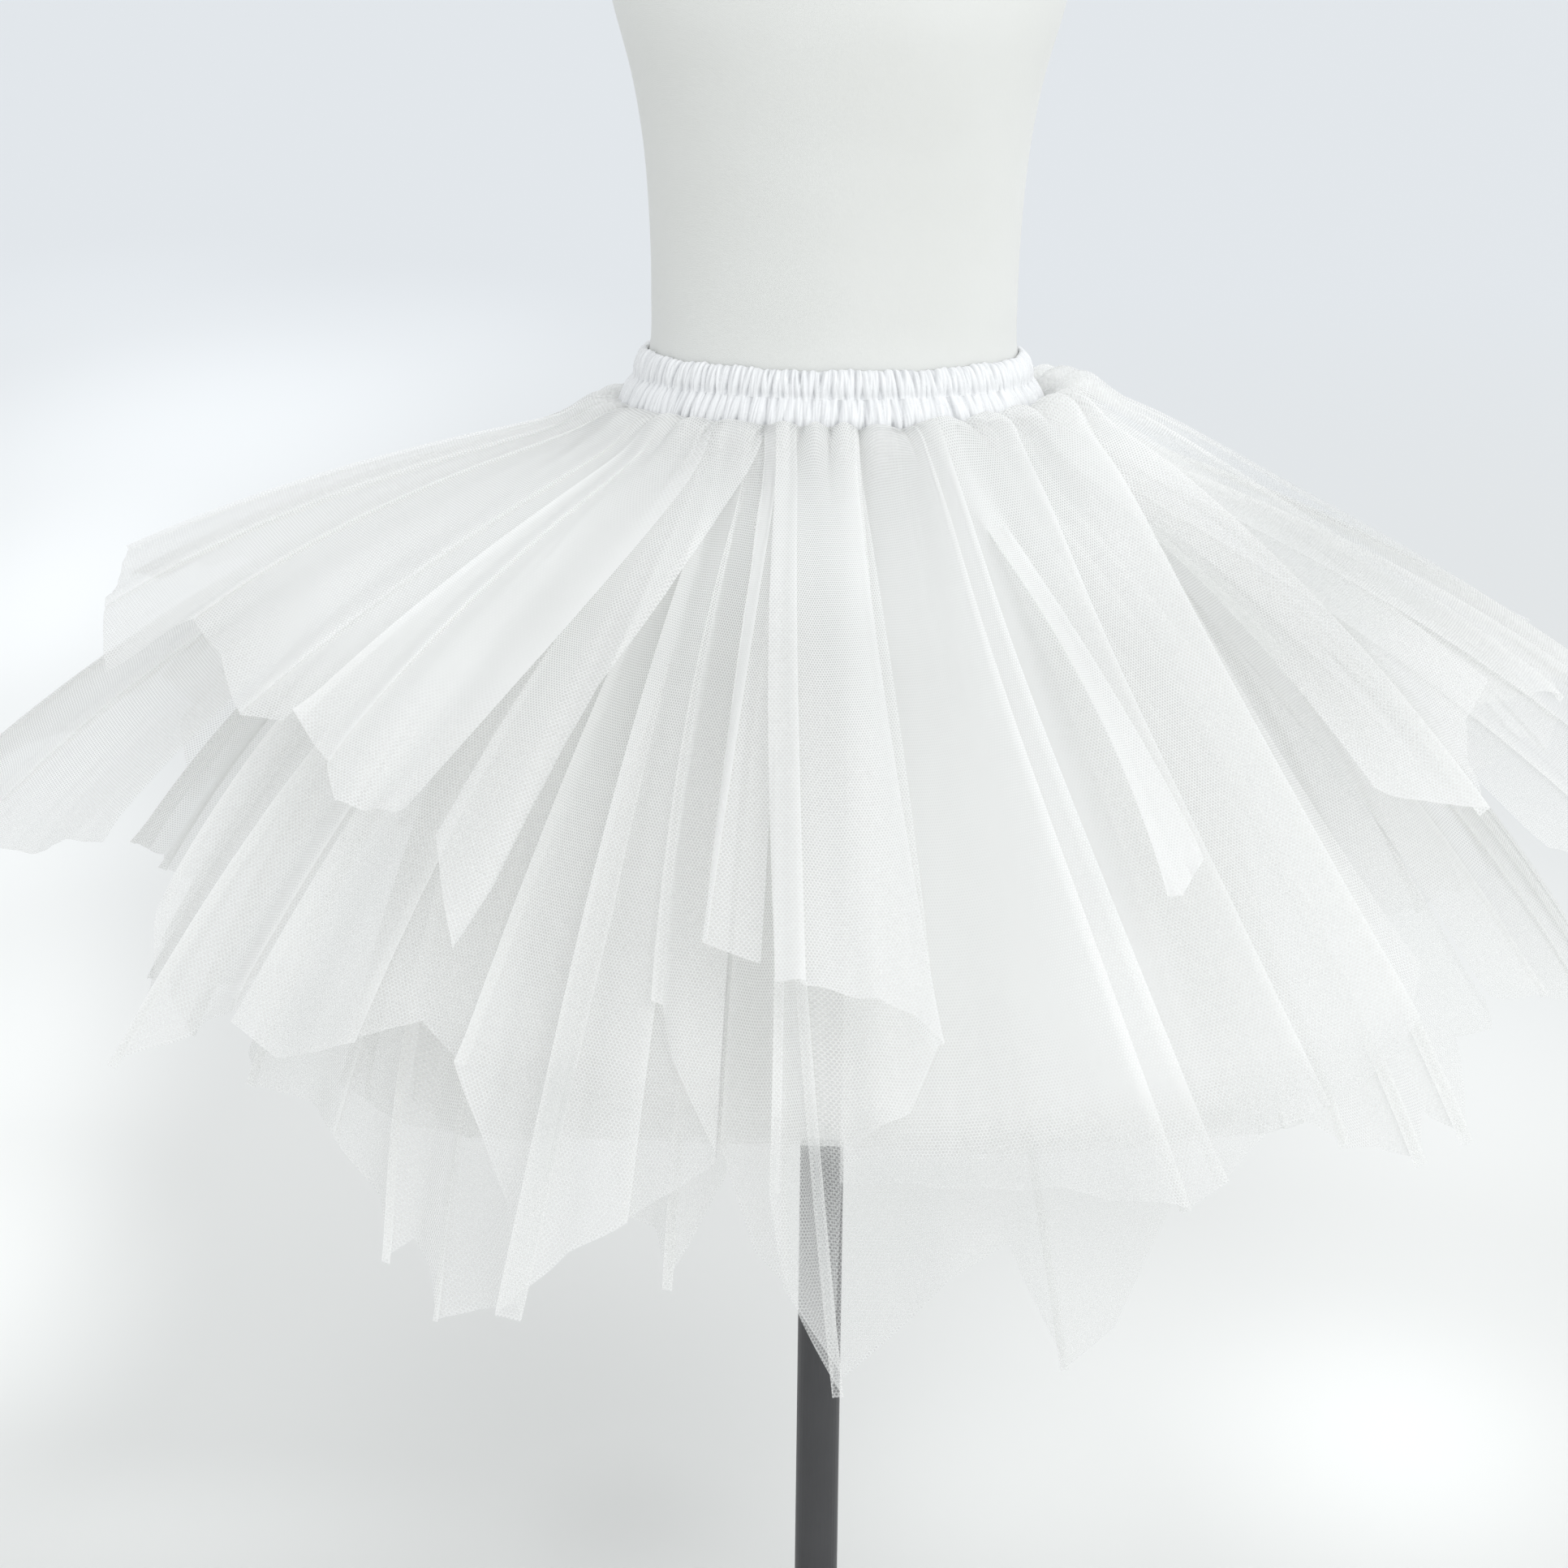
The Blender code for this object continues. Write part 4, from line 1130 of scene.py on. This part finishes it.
def build_stitching(material, girth):
    """The row of stitches between the band's channels."""
    rng = np.random.default_rng(SEED + 2)
    count = int(girth / (STITCH_LENGTH + STITCH_GAP))
    vertices, faces = [], []
    share = np.linspace(-1.0, 1.0, STITCH_POINTS)
    half = 180.0 * STITCH_LENGTH / girth
    for index in range(count):
        middle = 360.0 * (index + rng.uniform(-STITCH_STRAY, STITCH_STRAY)) / count
        z = BAND_BOTTOM_Z + STITCH_HEIGHT + STITCH_RISE * rng.uniform(-1, 1) + 0.0 * share
        offset = STITCH_OFFSET + STITCH_BOW * (1.0 - share ** 2)
        tube, rings = thread_tube(ring_points(middle + half * share, z, offset))
        base = index * len(tube)
        vertices.append(tube)
        faces.extend([base + corner for corner in face] for face in rings)
    mesh = bpy.data.meshes.new("waistband_stitches")
    mesh.from_pydata(np.concatenate(vertices).tolist(), [], faces)
    mesh.shade_smooth()
    mesh.materials.append(material)
    obj = add_object("waistband_stitches", mesh)
    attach(obj, "root")


# ---- dress form and stand
FORM_COLUMNS = 144
FORM_ROWS = 170
MERGE_DISTANCE = 1e-6


def build_form(material):
    """The torso's loft, finer than its solid, closed at both ends."""
    heights = [section.z for section in FORM_SECTIONS]
    fine = np.interp(np.linspace(0.0, len(heights) - 1.0, FORM_ROWS), np.arange(len(heights)), heights)
    azimuth = np.linspace(0.0, 360.0, FORM_COLUMNS, endpoint=False)[:, None]
    points = ring_points(azimuth, fine[::-1][None, :] + 0.0 * azimuth, 0.0)
    ends = (points[:, :1], points[:, -1:])
    top, bottom = (np.repeat(end.mean(axis=0, keepdims=True), FORM_COLUMNS, axis=0) for end in ends)
    obj = grid_object("form_torso", np.concatenate([top, points, bottom], axis=1), material, closed=True)
    work = bmesh.new()
    work.from_mesh(obj.data)
    bmesh.ops.remove_doubles(work, verts=work.verts, dist=MERGE_DISTANCE)
    work.to_mesh(obj.data)
    work.free()
    obj.data.shade_smooth()
    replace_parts(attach(obj, "root"), "dress_form")


def dress_node(name, material):
    """Give a carried-over CAD node its material."""
    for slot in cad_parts[name].material_slots:
        slot.material = material


# ---- studio
CAMERA_PLACE = (-0.0284, -2.9109, 1.5038)
CAMERA_PITCH = math.radians(14.0)
CAMERA_ROLL = math.radians(0.7)
CAMERA_LENS = 104.9
SENSOR_WIDTH = 36.0
FLOOR_RADIUS = 24.0
FLOOR_SIDES = 64
KEY_PLACE = (2.0, -3.0, 2.9)
KEY_TARGET = (0.0, 0.0, 0.85)
KEY_SIZE = 2.2
KEY_POWER = 22.0
KEY_COLOUR = (1.0, 0.99, 0.97)
WORLD_COLOUR = (0.955, 0.975, 1.0, 1.0)
WORLD_STRENGTH = 1.12
WORLD_BRIGHT_SIDE = (0.62, -0.40, -0.12)
WORLD_UNEVENNESS = 0.40
NET_BOUNCES = 20
LIGHT_BOUNCES = 6


def build_camera():
    """The photograph's viewpoint: level with the shoulders, looking down."""
    ahead = Vector((0.0, math.cos(CAMERA_PITCH), -math.sin(CAMERA_PITCH)))
    right = Vector((1.0, 0.0, 0.0))
    up = right.cross(ahead)
    side = right * math.cos(CAMERA_ROLL) + up * math.sin(CAMERA_ROLL)
    top = up * math.cos(CAMERA_ROLL) - right * math.sin(CAMERA_ROLL)
    data = bpy.data.cameras.new("camera")
    data.lens = CAMERA_LENS
    data.sensor_width = SENSOR_WIDTH
    camera = add_object("camera", data)
    camera.matrix_world = Matrix.Translation(CAMERA_PLACE) @ Matrix((side, top, -ahead)).transposed().to_4x4()
    bpy.context.scene.camera = camera


def build_key():
    """A soft square light from the front right."""
    data = bpy.data.lights.new("key", "AREA")
    data.shape = "SQUARE"
    data.size = KEY_SIZE
    data.energy = KEY_POWER
    data.color = KEY_COLOUR
    light = add_object("key", data)
    light.location = KEY_PLACE
    light.rotation_euler = (Vector(KEY_TARGET) - Vector(KEY_PLACE)).to_track_quat("-Z", "Y").to_euler()


def studio_world():
    """Even white light all round, stronger from the bright side."""
    graph = Graph(bpy.data.worlds.new("studio"))
    towards = graph.node("ShaderNodeTexCoord").outputs["Generated"]
    side = graph.dot(towards, WORLD_BRIGHT_SIDE)
    strength = graph.math("MULTIPLY_ADD", side, WORLD_STRENGTH * WORLD_UNEVENNESS, WORLD_STRENGTH)
    light = graph.shader("ShaderNodeBackground", Color=WORLD_COLOUR, Strength=strength)
    return graph.finish(light, "ShaderNodeOutputWorld")


def build_studio():
    """Pale floor, even light all round and a soft key light."""
    angle = np.linspace(0.0, TURN, FLOOR_SIDES, endpoint=False)
    rim = np.stack([FLOOR_RADIUS * np.sin(angle), -FLOOR_RADIUS * np.cos(angle), 0.0 * angle], axis=-1)
    mesh = bpy.data.meshes.new("studio_floor")
    mesh.from_pydata(rim.tolist(), [], [list(range(FLOOR_SIDES))])
    mesh.materials.append(floor_material())
    add_object("studio_floor", mesh)
    build_key()
    scene = bpy.context.scene
    scene.world = studio_world()
    scene.view_settings.view_transform = "Standard"
    scene.cycles.transparent_max_bounces = NET_BOUNCES
    scene.cycles.max_bounces = LIGHT_BOUNCES


def main():
    """Dress the frame and light it."""
    build_camera()
    build_studio()
    jersey = jersey_material()
    paint = painted_material()
    satin = satin_material()
    build_form(jersey)
    dress_node("neck_cap", jersey)
    dress_node("stand_pole", paint)
    dress_node("stand_foot", paint)
    build_cloth()
    build_stitching(satin, build_waistband(satin))


main()
